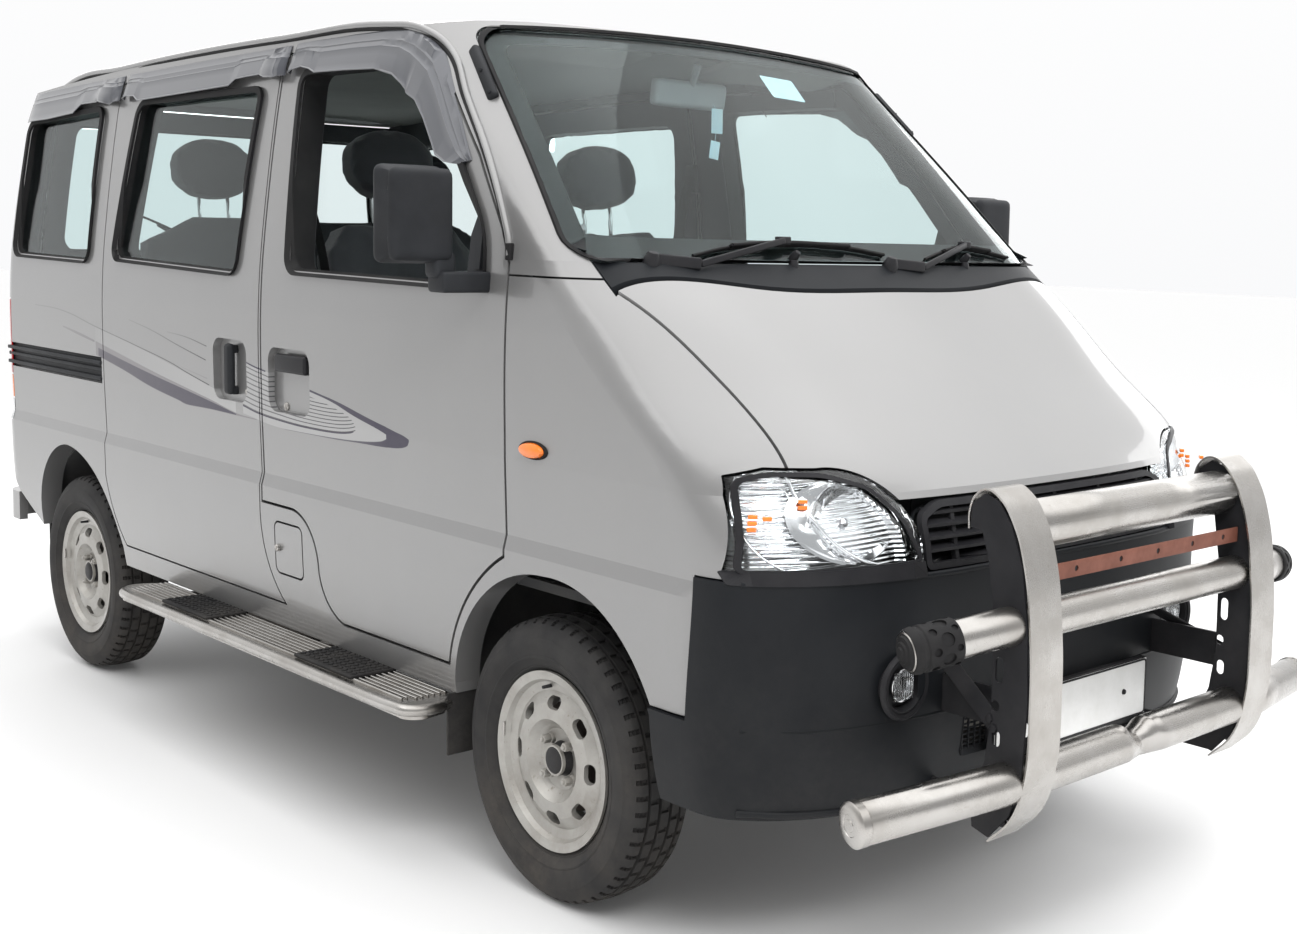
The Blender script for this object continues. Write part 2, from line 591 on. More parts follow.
def smoothByAngle(mesh, angle):
    for face in mesh.polygons:
        face.use_smooth = True
    mesh.set_sharp_from_angle(angle=math.radians(angle))


for name, node in nodes.items():
    material = byNode.get(name, bySlot[slotOf[name]])
    node.data.materials.clear()
    node.data.materials.append(material)
print("stage: materials made")


# making pieces
def joinInto(build, part):
    mesh = bpy.data.meshes.new("part")
    part.to_mesh(mesh)
    part.free()
    build.from_mesh(mesh)
    bpy.data.meshes.remove(mesh)


slotOf = {
    "silverPaint": "silver_paint", "silverPaintStriped": "silver_paint", "wheelPaint": "wheel_silver",
    "bumperPlastic": "bare_plastic", "polishedSteel": "polished_steel", "polishedSteelUpright": "polished_steel",
    "mirrorSilver": "polished_steel", "rustySteel": "black_steel", "tintedGlass": "clear_glass",
    "lampGlass": "lamp_clear", "fluteGlass": "lamp_clear", "lampChrome": "lamp_clear", "ribbedChrome": "lamp_clear",
    "amberPlastic": "lamp_clear", "redPlastic": "lamp_red", "redLens": "lamp_red", "tyreRubber": "tyre_rubber",
    "seatCloth": "seat_fabric", "cabinPlastic": "cabin_plastic", "doorLining": "cabin_plastic",
    "headLining": "cabin_plastic", "paleGreyPlastic": "cabin_plastic", "floorMat": "floor_paint",
    "underbodyPaint": "underbody_paint", "engineIron": "engine_iron", "visorPlastic": "smoke_plastic",
    "smokeVisor": "smoke_plastic",
}


def finishPiece(build, name, material, body="body", angle=34, replaced=(), recalc=True):
    bmesh.ops.remove_doubles(build, verts=build.verts, dist=0.00002)
    if recalc:
        bmesh.ops.recalc_face_normals(build, faces=build.faces)
    mesh = bpy.data.meshes.new(name)
    build.to_mesh(mesh)
    build.free()
    smoothByAngle(mesh, angle)
    mesh.materials.append(material)
    piece = bpy.data.objects.new(name, mesh)
    bpy.context.collection.objects.link(piece)
    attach(piece, body)
    if replaced:
        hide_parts(*replaced)
    return piece


def mirrorAcross(build):  # adds the other side of the vehicle
    both = build.verts[:] + build.edges[:] + build.faces[:]
    bmesh.ops.mirror(build, geom=both, matrix=Matrix.Identity(4), merge_dist=0.0, axis="X")
    return build


def flipped(build):  # turns the right-hand piece into the left-hand one
    build.transform(Matrix.Scale(-1, 4, (1, 0, 0)))
    return build


def turnTo(axis):
    return Vector((0, 0, 1)).rotation_difference(Vector(axis)).to_matrix().to_4x4()


def addBlock(build, centre, size, bevel=0.003, turn=None, segments=3):
    part = bmesh.new()
    bmesh.ops.create_cube(part, size=1)
    bmesh.ops.scale(part, vec=size, verts=part.verts)
    if bevel:
        bmesh.ops.bevel(part, geom=part.edges[:], offset=bevel, segments=segments, profile=0.5,
                        affect="EDGES", material=-1)
    part.transform(Matrix.Translation(centre) @ (turn or Matrix.Identity(4)))
    joinInto(build, part)


def addRod(build, start, end, radius, endRadius=None, sides=32, bevel=0.0008):
    start, end = Vector(start), Vector(end)
    part = bmesh.new()
    bmesh.ops.create_cone(part, cap_ends=True, segments=sides, radius1=radius,
                          radius2=radius if endRadius is None else endRadius, depth=(end - start).length)
    if bevel:
        rims = [e for e in part.edges if sides in [len(f.verts) for f in e.link_faces]]
        bmesh.ops.bevel(part, geom=rims, offset=bevel, segments=2, profile=0.5, affect="EDGES", material=-1)
    part.transform(Matrix.Translation((start + end) / 2) @ turnTo(end - start))
    joinInto(build, part)


def addLathe(build, profile, centre, axis, steps=64, closed=False):  # profile: radius, height along the axis
    part = bmesh.new()
    ring = [part.verts.new((radius, 0, height)) for radius, height in profile]
    line = [part.edges.new(pair) for pair in zip(ring, ring[1:])]
    if closed:
        line.append(part.edges.new((ring[-1], ring[0])))
    bmesh.ops.spin(part, geom=ring + line, cent=(0, 0, 0), axis=(0, 0, 1), angle=2 * math.pi,
                   steps=steps, use_merge=True, use_duplicate=False)
    bmesh.ops.remove_doubles(part, verts=part.verts, dist=0.00001)
    bmesh.ops.dissolve_degenerate(part, edges=part.edges, dist=0.000001)
    part.transform(Matrix.Translation(centre) @ turnTo(axis))
    joinInto(build, part)


def addPipe(build, points, radius, closed=False, straight=False, roundness=4, steps=8):
    curve = bpy.data.curves.new("pipe", "CURVE")
    curve.dimensions = "3D"
    curve.resolution_u = steps
    curve.bevel_depth = radius
    curve.bevel_resolution = roundness
    curve.use_fill_caps = not closed
    spline = curve.splines.new("BEZIER")
    spline.bezier_points.add(len(points) - 1)
    for knot, place in zip(spline.bezier_points, points):
        knot.co = place
        knot.handle_left_type = knot.handle_right_type = "VECTOR" if straight else "AUTO"
    spline.use_cyclic_u = closed
    holder = bpy.data.objects.new("pipe", curve)
    mesh = bpy.data.meshes.new_from_object(holder)
    build.from_mesh(mesh)
    bpy.data.objects.remove(holder)
    bpy.data.meshes.remove(mesh)
    bpy.data.curves.remove(curve)


def skinTree(*names):
    together = bmesh.new()
    for name in names:
        together.from_mesh(nodes[name].data)
    tree = BVHTree.FromBMesh(together)
    together.free()
    return tree


sideSkin = skinTree("front_door_right", "sliding_doors", "side_frame_right", "fenders", "roof_panel")
frontSkin = skinTree("bonnet", "fenders", "front_bumper", "roof_panel", "side_frame_right",
                     "side_frame_left", "windscreen", "headlamps", "grille", "cowl_panel")
rearSkin = skinTree("tailgate", "tail_lamps", "side_frame_right", "side_frame_left", "roof_panel",
                    "rear_bumper")
topSkin = skinTree("roof_panel", "cowl_panel", "bonnet", "fenders", "side_frame_right", "side_frame_left")
looks = {"side": (sideSkin, Vector((1, 0, 0))), "front": (frontSkin, Vector((0, 1, 0))),
         "rear": (rearSkin, Vector((0, -1, 0))), "top": (topSkin, Vector((0, 0, -1)))}


def onSkin(look, place, lift=0.0, reach=0.45):  # drops a place onto the skin, seen from that side
    tree, ray = looks[look]
    axis = [abs(part) for part in ray].index(1)
    start = place.copy()
    start[axis] = -3.0 * ray[axis]
    hit, normal, index, distance = tree.ray_cast(start, ray)
    near, normal, index, distance = tree.find_nearest(place)
    if hit is None or abs(hit[axis] - place[axis]) > reach:
        hit = near
    found = place.copy()
    found[axis] = hit[axis]
    return found - ray * lift


def sidePlace(s, z, lift=0.0, reach=0.2):  # on the right side's skin
    return onSkin("side", at(-710, s, z), lift, reach)


def frontPlace(x, z, guess=-100, lift=0.0, reach=0.9):
    return onSkin("front", at(x, guess, z), lift, reach)


def rearPlace(x, z, lift=0.0):
    return onSkin("rear", at(x, 2900, z), lift, 0.2)


def grown(points, amount):  # an outline moved outwards
    area = sum(a[0] * b[1] - b[0] * a[1] for a, b in zip(points, points[1:] + points[:1]))
    amount = amount if area > 0 else -amount
    out = []
    for before, here, after in zip(points[-1:] + points[:-1], points, points[1:] + points[:1]):
        a, b = (Vector(here) - Vector(before)).normalized(), (Vector(after) - Vector(here)).normalized()
        m, n = Vector((a.y, -a.x)), Vector((b.y, -b.x))
        out.append(tuple(Vector(here) + (m + n) * (amount / max(1 + m.dot(n), 0.3))))
    return out


def inside(points, s, z):
    found = False
    for (a, b), (c, d) in zip(points, points[1:] + points[:1]):
        if (b > z) != (d > z) and s < (c - a) * (z - b) / (d - b) + a:
            found = not found
    return found


def outlineFace(build, places, radius, longest=0.05):
    corners = [build.verts.new(place) for place in places]
    build.faces.new(corners)
    if radius:
        bmesh.ops.bevel(build, geom=corners, offset=radius, affect="VERTICES", segments=6, profile=0.5,
                        material=-1)
    for edge in build.edges[:]:
        cuts = int(edge.calc_length() / longest)
        if cuts:
            bmesh.ops.subdivide_edges(build, edges=[edge], cuts=cuts)


def addBand(build, places, radius, width, fit, thickness=0.004):  # a flat ring laid on a skin
    part = bmesh.new()
    outlineFace(part, places, radius)
    bmesh.ops.inset_region(part, faces=part.faces[:], thickness=width, use_even_offset=True,
                           use_boundary=True)
    middle = max(part.faces, key=lambda face: len(face.verts))
    bmesh.ops.delete(part, geom=[middle], context="FACES")
    for vert in part.verts:
        vert.co = fit(vert.co)
    bmesh.ops.solidify(part, geom=part.faces[:], thickness=thickness)
    joinInto(build, part)


def addPatch(build, places, radius, fit, thickness=0.003, cells=0.03):  # a whole sheet laid on a skin
    part = bmesh.new()
    outlineFace(part, places, radius, cells)
    low = [min(v.co[i] for v in part.verts) for i in range(3)]
    high = [max(v.co[i] for v in part.verts) for i in range(3)]
    for i in range(3):
        count = int((high[i] - low[i]) / cells)
        for j in range(1, count + 1):
            cut = Vector((0, 0, 0))
            cut[i] = low[i] + j * (high[i] - low[i]) / (count + 1)
            side = Vector((0, 0, 0))
            side[i] = 1
            bmesh.ops.bisect_plane(part, geom=part.verts[:] + part.edges[:] + part.faces[:], plane_co=cut,
                                   plane_no=side)
    for vert in part.verts:
        vert.co = fit(vert.co)
    bmesh.ops.solidify(part, geom=part.faces[:], thickness=thickness)
    joinInto(build, part)


def skinCopy(name, test):  # the faces of a CAD node that pass the test, as one merged sheet
    part = bmesh.new()
    part.from_mesh(nodes[name].data)
    bmesh.ops.remove_doubles(part, verts=part.verts, dist=0.00001)
    part.normal_update()
    unwanted = [f for f in part.faces if not test(f.normal, f.calc_center_median())]
    bmesh.ops.delete(part, geom=unwanted, context="FACES")
    return part


def pushOut(part, amount):
    part.normal_update()
    moves = [(vert, vert.normal * amount) for vert in part.verts]
    for vert, move in moves:
        vert.co += move


# tyres: ribs and blocks on the tread, rings on the walls
tyreShape = {
    "half": [(0.172, 0.050), (0.183, 0.055), (0.190, 0.0615), (0.1925, 0.0612), (0.197, 0.066),
             (0.208, 0.0715), (0.2095, 0.0735), (0.2125, 0.0738), (0.214, 0.0730), (0.228, 0.0772),
             (0.242, 0.0782), (0.252, 0.0768), (0.2535, 0.0755), (0.262, 0.0728), (0.270, 0.0690),
             (0.2765, 0.0640), (0.2815, 0.0585), (0.2845, 0.0530), (0.2858, 0.0425), (0.2800, 0.0415),
             (0.2800, 0.0365), (0.2866, 0.0355), (0.2880, 0.0170), (0.2815, 0.0160), (0.2815, 0.0110),
             (0.2887, 0.0100)],
    "steps": 168, "cut": 0.0050,
}


def makeTyre(name, body):
    spec = tyreShape
    low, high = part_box(name)
    centre = (low + high) / 2
    half = spec["half"]
    profile = half + [(r, -h) for r, h in reversed(half)]
    build = bmesh.new()
    addLathe(build, profile, (0, 0, 0), (1, 0, 0), spec["steps"], closed=True)
    build.normal_update()
    wide = 2 * math.pi / spec["steps"]
    shoulder, middle = [], []
    for face in build.faces:
        place = face.calc_center_median()
        radius, turn = math.hypot(place.y, place.z), int((math.atan2(place.z, place.y) + math.pi) / wide)
        if 0.2835 < radius < 0.2862 and abs(place.x) > 0.044 and turn % 3 == 0:
            shoulder.append(face)
        if 0.2868 < radius and 0.018 < abs(place.x) < 0.035 and turn % 4 == 1:
            middle.append(face)
        if 0.2880 < radius and abs(place.x) < 0.01 and turn % 4 == 3:
            middle.append(face)
        if 0.2785 < radius < 0.2835 and abs(place.x) > 0.05 and turn % 3 == 0:
            shoulder.append(face)
    for group in (shoulder, middle):
        bmesh.ops.inset_individual(build, faces=group, thickness=0.0022, depth=-spec["cut"])
    build.transform(Matrix.Translation(centre))
    return finishPiece(build, "tread_" + name[5:], tyreRubber, body, 28, (name,))


# wheel furniture
wheelShape = {"nutCircle": 0.0500, "nut": 0.0098, "valve": 0.148}


def makeWheelParts(corner, body):
    spec = wheelShape
    low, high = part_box("rim_" + corner)
    centre = (low + high) / 2
    out = -1 if "right" in corner else 1
    axis = Vector((out, 0, 0))
    steelPart, capPart, drumPart, weights = bmesh.new(), bmesh.new(), bmesh.new(), bmesh.new()
    for i in range(4):
        turn = math.radians(45 + 90 * i)
        arm = Vector((0, math.cos(turn), math.sin(turn)))
        foot = centre + arm * spec["nutCircle"]
        addRod(steelPart, foot + axis * 0.030, foot + axis * 0.040, 0.0135, 0.0110, 24)
        addRod(steelPart, foot + axis * 0.038, foot + axis * 0.056, spec["nut"], spec["nut"] * 0.94, 6, 0.0012)
        addRod(steelPart, foot + axis * 0.050, foot + axis * 0.060, 0.0058, 0.0048, 16)
    addLathe(capPart, [(0, 0.0595), (0.012, 0.0592), (0.022, 0.0575), (0.028, 0.0535), (0.0315, 0.046),
                       (0.0335, 0.036), (0.036, 0.031), (0.0, 0.029)], centre, axis, 48)
    stem = centre + Vector((0, 0.02, spec["valve"]))
    addRod(capPart, stem + axis * 0.030, stem + axis * 0.068, 0.0042, 0.0034, 16)
    addLathe(drumPart, [(0.030, -0.012), (0.108, -0.012), (0.112, -0.006), (0.112, 0.004), (0.104, 0.010),
                        (0.070, 0.012), (0.066, 0.020), (0.030, 0.020)], centre, axis, 64, closed=True)
    rimPlace = centre + Vector((0, 0.160, 0.030)) + axis * 0.0635
    addBlock(weights, rimPlace, (0.004, 0.006, 0.030), 0.0012)
    finishPiece(steelPart, "wheelNuts_" + corner, wheelPaint, body)
    finishPiece(capPart, "hubCap_" + corner, blackPlastic, body)
    finishPiece(drumPart, "brakeDrum_" + corner, engineIron, body)
    finishPiece(weights, "wheelWeight_" + corner, steel, body)


for corner in ("front_right", "front_left", "rear_right", "rear_left"):
    makeTyre("tyre_" + corner, "wheel_" + corner)
    makeWheelParts(corner, "wheel_" + corner)
print("stage: wheels made")

# windows: outlines as stations and heights
windows = {
    "front": [(198, 1228), (1014, 1234), (1042, 1698), (530, 1698), (314, 1474), (210, 1340)],
    "sliding": [(1291, 1220), (2030, 1237), (1955, 1661), (1239, 1668)],
    "quarter": [(2220, 1224), (2790, 1230), (2760, 1630), (2209, 1655)],
    "screen": [(-598, 1776), (-300, 1790), (0, 1794), (300, 1790), (598, 1776), (704, 1290), (-704, 1290)],
    "tail": [(560, 1235), (526, 1640), (-526, 1640), (-560, 1235)],
    "sealOut": 11, "sealIn": 5, "proud": 0.0035,
}


def makeSeals():
    spec = windows
    wide = (spec["sealOut"] + spec["sealIn"]) / 1000
    bodyOfWindow = {"front": ("front_door_right", "front_door_left"), "sliding": ("body", "body"),
                    "quarter": ("body", "body")}
    for name, bodies in bodyOfWindow.items():
        for sideName, body in zip(("right", "left"), bodies):
            build = bmesh.new()
            places = [at(-710, s, z) for s, z in grown(spec[name], spec["sealOut"])]
            addBand(build, places, 0.046, wide, lambda p: onSkin("side", p, spec["proud"], 0.2), 0.007)
            if sideName == "left":
                flipped(build)
            finishPiece(build, name + "WindowSeal_" + sideName, rubber, body, 40)
    build = bmesh.new()
    addBand(build, [at(x, -300, z) for x, z in grown(spec["screen"], 2)], 0.05, 0.0065,
            lambda p: frontPlace(p.x * 1000, p.z * 1000, lift=0.004), 0.008)
    finishPiece(build, "screenSeal", rubber, "body", 40)
    build = bmesh.new()
    addBand(build, [at(x, 2900, z) for x, z in grown(spec["tail"], 11)], 0.055, 0.018,
            lambda p: rearPlace(p.x * 1000, p.z * 1000, 0.004), 0.008)
    finishPiece(build, "tailWindowSeal", rubber, "tailgate", 40)
    # printed edges behind the glass
    build = bmesh.new()
    part = [at(x, -300, z) for x, z in grown(spec["screen"], -3)]
    addBand(build, part, 0.05, 0.040, lambda p: frontPlace(p.x * 1000, p.z * 1000, lift=-0.0105), 0.0006)
    finishPiece(build, "screenPrint", printInk, "body", 40)


def makeReveals(node, name, body, outlines):  # the dark edges of the window openings
    def test(normal, centre):
        s, z = (centre.y - frontAxleY) * 1000, centre.z * 1000
        return abs(normal.x) < 0.75 and any(inside(grown(o, 9), s, z) for o in outlines)
    part = skinCopy(node, test)
    pushOut(part, 0.0012)
    bmesh.ops.solidify(part, geom=part.faces[:], thickness=0.0010)
    return finishPiece(part, name, rubber, body, 30, recalc=True)


lining = {"gap": 0.0020, "thickness": 0.0012}


def makeLining(node, name, material, body, test):  # a thin skin inside a panel
    part = skinCopy(node, test)
    pushOut(part, lining["gap"])
    bmesh.ops.solidify(part, geom=part.faces[:], thickness=lining["thickness"])
    finishPiece(part, name, material, body, 30)


def makeTrims():
    for side, sign in (("right", -1), ("left", 1)):
        for node, body in (("front_door_" + side, "front_door_" + side), ("side_frame_" + side, "body")):
            makeLining(node, node + "_lining", doorLining, body, lambda n, c: n.x * sign < -0.55)
        makeReveals("front_door_" + side, "frontReveal_" + side, "front_door_" + side, [windows["front"]])
        makeReveals("side_frame_" + side, "quarterReveal_" + side, "body", [windows["quarter"]])
    makeLining("sliding_doors", "slidingDoor_lining", doorLining, "body", lambda n, c: n.x * c.x < -0.4)
    makeReveals("sliding_doors", "slidingReveals", "body", [windows["sliding"]])
    makeLining("roof_panel", "roofLining", headLining, "body", lambda n, c: n.z < -0.4)
    makeLining("tailgate", "tailgateLining", doorLining, "tailgate", lambda n, c: n.y < -0.5)


printInk = makeMoulded("printInk", {"colour": (0.008, 0.009, 0.010), "worn": (0.012, 0.013, 0.014), "rough": 0.5},
                       900.0, 0.02, 0.0)
doorLining = makeMoulded("doorLining", {"colour": (0.050, 0.052, 0.055), "worn": (0.07, 0.072, 0.075), "rough": 0.6},
                         1100.0, 0.25, 0.1)
makeSeals()
makeTrims()
print("stage: seals and linings made")


def cutAway(build, cutter):
    whole = bpy.data.objects.new("whole", bpy.data.meshes.new("whole"))
    tool = bpy.data.objects.new("tool", bpy.data.meshes.new("tool"))
    for part, holder in ((build, whole), (cutter, tool)):
        bmesh.ops.recalc_face_normals(part, faces=part.faces)
        part.to_mesh(holder.data)
        bpy.context.collection.objects.link(holder)
    cut = whole.modifiers.new("cut", "BOOLEAN")
    cut.object, cut.solver, cut.operation, cut.use_self = tool, "EXACT", "DIFFERENCE", True
    bpy.context.view_layer.update()
    mesh = bpy.data.meshes.new_from_object(whole.evaluated_get(bpy.context.evaluated_depsgraph_get()))
    build.clear()
    build.from_mesh(mesh)
    cutter.free()
    for holder in (whole, tool):
        data = holder.data
        bpy.data.objects.remove(holder)
        bpy.data.meshes.remove(data)
    bpy.data.meshes.remove(mesh)


def addBar(build, start, end, width, thickness, bevel=0.0008):  # a flat bar between two places
    start, end = Vector(start), Vector(end)
    along = (end - start).normalized()
    across = along.cross(Vector((0, 1, 0))).normalized()
    turn = Matrix((across, along.cross(across), along)).transposed().to_4x4()
    addBlock(build, (start + end) / 2, (width, thickness, (end - start).length), bevel, turn)


def addRibbon(build, points, across, thickness):  # a strip of sheet along a smooth line
    curve = bpy.data.curves.new("line", "CURVE")
    curve.dimensions = "3D"
    curve.resolution_u = 8
    spline = curve.splines.new("BEZIER")
    spline.bezier_points.add(len(points) - 1)
    for knot, place in zip(spline.bezier_points, points):
        knot.co = place
        knot.handle_left_type = knot.handle_right_type = "AUTO"
    holder = bpy.data.objects.new("line", curve)
    mesh = bpy.data.meshes.new_from_object(holder)
    part = bmesh.new()
    part.from_mesh(mesh)
    made = bmesh.ops.extrude_edge_only(part, edges=part.edges[:])["geom"]
    bmesh.ops.translate(part, vec=across, verts=[v for v in made if isinstance(v, bmesh.types.BMVert)])
    bmesh.ops.recalc_face_normals(part, faces=part.faces)
    bmesh.ops.solidify(part, geom=part.faces[:], thickness=thickness)
    joinInto(build, part)
    bpy.data.objects.remove(holder)
    bpy.data.meshes.remove(mesh)
    bpy.data.curves.remove(curve)


def addPlate(build, corners, thickness, radius=0.0):  # a flat plate from its corners
    part = bmesh.new()
    outlineFace(part, corners, radius, 10)
    part.normal_update()
    bmesh.ops.solidify(part, geom=part.faces[:], thickness=thickness)
    joinInto(build, part)


# headlamps
headlamp = {
    "outline": [(-396, 766), (-712, 759), (-689, 919), (-640, 933), (-560, 931), (-478, 906), (-428, 850)],
    "frame": 0.0075, "bowl": (-520, 846), "bowlWide": 1.42, "bowlRadius": 0.074, "under": 0.017,
    "ridge": [(-608, 930), (-602, 892), (-584, 846), (-556, 806), (-520, 780), (-486, 768)],
    "arc": [(-676, 922), (-690, 884), (-693, 840), (-680, 800), (-650, 770), (-640, 764)],
    "ribs": (778, 142, 13),
    "amber": [(-690, -563, (838, 849, 860)), (-664, -600, (862, 873, 884))],
}


def makeHeadlamp(side):
    spec = headlamp
    mine = (lambda part: flipped(part)) if side == "left" else (lambda part: part)
    outlinePlaces = [at(x, -600, z) for x, z in spec["outline"]]

    def onLens(x, z, lift):
        return frontPlace(x, z, -600, lift, 0.6)

    lens = skinCopy("headlamps", lambda n, c: c.x < 0 and n.y - abs(n.x) * 0.9 < -0.35 and abs(n.z) < 0.8)
    pushOut(lens, -0.0015)
    bmesh.ops.solidify(lens, geom=lens.faces[:], thickness=0.0025)
    finishPiece(mine(lens), "headlampLens_" + side, lampGlass, "body", 40,
                ("headlamps",) if side == "right" else ())
    frameRing = bmesh.new()
    addBand(frameRing, outlinePlaces, 0.016, spec["frame"], lambda p: onLens(p.x * 1000, p.z * 1000, 0.0005), 0.004)
    addPatch(frameRing, [at(x, -600, z) for x, z in ((-722, 764), (-392, 770), (-392, 741), (-722, 741))], 0.004,
             lambda p: onLens(p.x * 1000, p.z * 1000, 0.001), 0.004)
    finishPiece(mine(frameRing), "headlampFrame_" + side, blackPlastic)
    back = skinCopy("headlamps", lambda n, c: c.x < 0 and n.y - abs(n.x) * 0.9 < -0.35 and abs(n.z) < 0.8)
    pushOut(back, -0.034)
    bmesh.ops.solidify(back, geom=back.faces[:], thickness=0.0015)
    finishPiece(mine(back), "headlampBack_" + side, ribbedChrome, "body", 40)

    bowl, lip, bulb = bmesh.new(), bmesh.new(), bmesh.new()
    radius, (bowlX, bowlZ) = spec["bowlRadius"], spec["bowl"]
    front = onLens(bowlX, bowlZ, 0.0)
    slope = onLens(bowlX, bowlZ + 40, 0.0) - onLens(bowlX, bowlZ - 40, 0.0)
    turn = Matrix.Rotation(math.atan2(slope.y, slope.z) * -0.8, 4, "X")
    curve = [(radius * share, 0.046 * share * share - 0.046)
             for share in (1, 0.92, 0.82, 0.7, 0.56, 0.42, 0.3, 0.2)]
    addLathe(bowl, curve + [(0.015, -0.050), (0.0, -0.051)], (0, 0, 0), (0, -1, 0), 72)
    for vert in bowl.verts:  # the crease across the bowl and its two flat cheeks
        reach = math.hypot(vert.co.x, vert.co.z) / radius
        if 0.25 < reach < 0.99:
            vert.co.y += 0.007 * math.exp(-(vert.co.z / 0.012) ** 2) * reach
            vert.co.y -= 0.006 * math.exp(-((abs(vert.co.x) - 0.045) / 0.016) ** 2) * (vert.co.z < 0)
    addLathe(lip, [(radius - 0.007, -0.004), (radius + 0.002, 0.004), (radius + 0.004, 0.002),
                   (radius + 0.004, -0.004),
                   (radius - 0.002, -0.010)], (0, 0, 0), (0, -1, 0), 72, closed=True)
    addLathe(bulb, [(0, -0.012), (0.008, -0.014), (0.0105, -0.020), (0.0105, -0.034), (0.015, -0.038),
                    (0.015, -0.052)],
             (0, 0, 0), (0, -1, 0), 32)
    rim = grown(spec["outline"], -10)
    for part, stretch in ((bowl, spec["bowlWide"]), (lip, spec["bowlWide"]), (bulb, 1.0)):
        part.transform(Matrix.Translation(front + Vector((0, spec["under"], 0))) @ turn
                       @ Matrix.Scale(stretch, 4, (1, 0, 0)))
        for vert in part.verts:
            share = 1.0
            x, z = vert.co.x * 1000 - bowlX, vert.co.z * 1000 - bowlZ
            while share > 0.4 and not inside(rim, bowlX + x * share, bowlZ + z * share):
                share -= 0.01
            vert.co.x, vert.co.z = (bowlX + x * share) / 1000, (bowlZ + z * share) / 1000
            cover = onLens(vert.co.x * 1000, vert.co.z * 1000, -0.006)
            vert.co.y = max(vert.co.y, cover.y)
    bmesh.ops.solidify(bowl, geom=bowl.faces[:], thickness=0.001)
    finishPiece(mine(bowl), "headlampBowl_" + side, chrome, "body", 50)
    finishPiece(mine(lip), "headlampLip_" + side, chrome, "body", 50)
    finishPiece(mine(bulb), "headlampBulb_" + side, chrome, "body", 50)

    amber = bmesh.new()
    for x, s, heights in spec["amber"]:
        for z in heights:
            place = onSkin("side", at(x, s, z), -0.020, 0.2)
            addBlock(amber, place, (0.010, 0.017, 0.0075), 0.002, Matrix.Rotation(math.radians(50), 4, "Z"))
    finishPiece(mine(amber), "headlampAmber_" + side, amberPaint, "body", 50)

    divider = bmesh.new()
    addPipe(divider, [onLens(x, z, -0.010) for x, z in spec["ridge"]], 0.0042)
    addPipe(divider, [onLens(x - 9, z - 1, -0.014) for x, z in spec["ridge"]], 0.0022)
    addPipe(divider, [onLens(x, z, -0.010) for x, z in spec["arc"]], 0.0024)
    low, tall, count = spec["ribs"]
    for i in range(count):
        z = low + tall * i / (count - 1)
        ends = []
        for line in (spec["arc"], spec["ridge"]):
            for (x, top), (endX, under) in zip(line, line[1:]):
                if under <= z <= top:
                    ends.append(x + (endX - x) * (top - z) / (top - under))
                    break
        if len(ends) == 2:
            steps = [ends[0] + 5 + (ends[1] - ends[0] - 12) * j / 6 for j in range(7)]
            addPipe(divider, [onLens(x, z, -0.019) for x in steps], 0.0031, roundness=3, steps=4)
    finishPiece(mine(divider), "headlampRidge_" + side, chrome, "body", 50)


def makeRibbedChrome():
    material, tree, shader = newMaterial("ribbedChrome", Metallic=1.0, Roughness=0.16)
    place, x, y, z = objectCoord(tree)
    tone = useGroup(tree, varyGroup, Colour=(0.88, 0.89, 0.90), Other=(0.70, 0.71, 0.72), Amount=0.5, Scale=18.0)
    tree.links.new(tone.outputs["Colour"], shader.inputs["Base Color"])
    fan = addMath(tree, "ADD", addMath(tree, "MULTIPLY", z, 2 * math.pi / 0.0085),
                  addMath(tree, "MULTIPLY", addMath(tree, "ABSOLUTE", x), 60.0))
    wave = addMath(tree, "SINE", fan)
    addBump(tree, shader, wave, 0.5, 0.0018)
    return material


def makeChrome():
    material, tree, shader = newMaterial("lampChrome", Metallic=1.0)
    place, x, y, z = objectCoord(tree)
    tone = useGroup(tree, varyGroup, Colour=(0.86, 0.86, 0.87), Other=(0.74, 0.74, 0.75), Amount=0.4, Scale=12.0)
    tree.links.new(tone.outputs["Colour"], shader.inputs["Base Color"])
    tree.links.new(addMath(tree, "MULTIPLY_ADD", tone.outputs["Mask"], 0.06, 0.05), shader.inputs["Roughness"])
    return material


def makeGlossy(name, colour, other, rough, metal=0.0, coat=0.0):
    material, tree, shader = newMaterial(name, Metallic=metal, Coat_Weight=coat)
    place, x, y, z = objectCoord(tree)
    tone = useGroup(tree, varyGroup, Colour=colour, Other=other, Amount=0.6, Scale=22.0)
    tree.links.new(tone.outputs["Colour"], shader.inputs["Base Color"])
    tree.links.new(addMath(tree, "MULTIPLY_ADD", tone.outputs["Mask"], 0.08, rough), shader.inputs["Roughness"])
    addBump(tree, shader, addNoise(tree, place, 500.0, 3.0), 0.06, 0.0004)
    return material


ribbedChrome = makeRibbedChrome()
chrome = makeChrome()
amberPaint = makeGlossy("amberPlastic", (0.85, 0.20, 0.015), (0.70, 0.13, 0.01), 0.15, coat=0.6)
redPaint = makeGlossy("redPlastic", (0.50, 0.010, 0.012), (0.38, 0.008, 0.010), 0.12, coat=0.7)
whitePlate = makeGlossy("plateWhite", (0.80, 0.80, 0.79), (0.70, 0.70, 0.68), 0.35)
rustySteel = makeGlossy("rustySteel", (0.20, 0.075, 0.050), (0.10, 0.035, 0.022), 0.55, 0.3)
mirrorSilver = makeGlossy("mirrorSilver", (0.80, 0.82, 0.84), (0.78, 0.80, 0.82), 0.02, 1.0)
glovePlastic = makeMoulded(
    "softBlack", {"colour": (0.016, 0.017, 0.019), "worn": (0.032, 0.034, 0.038), "rough": 0.5}, 1300.0, 0.2, 0.2)
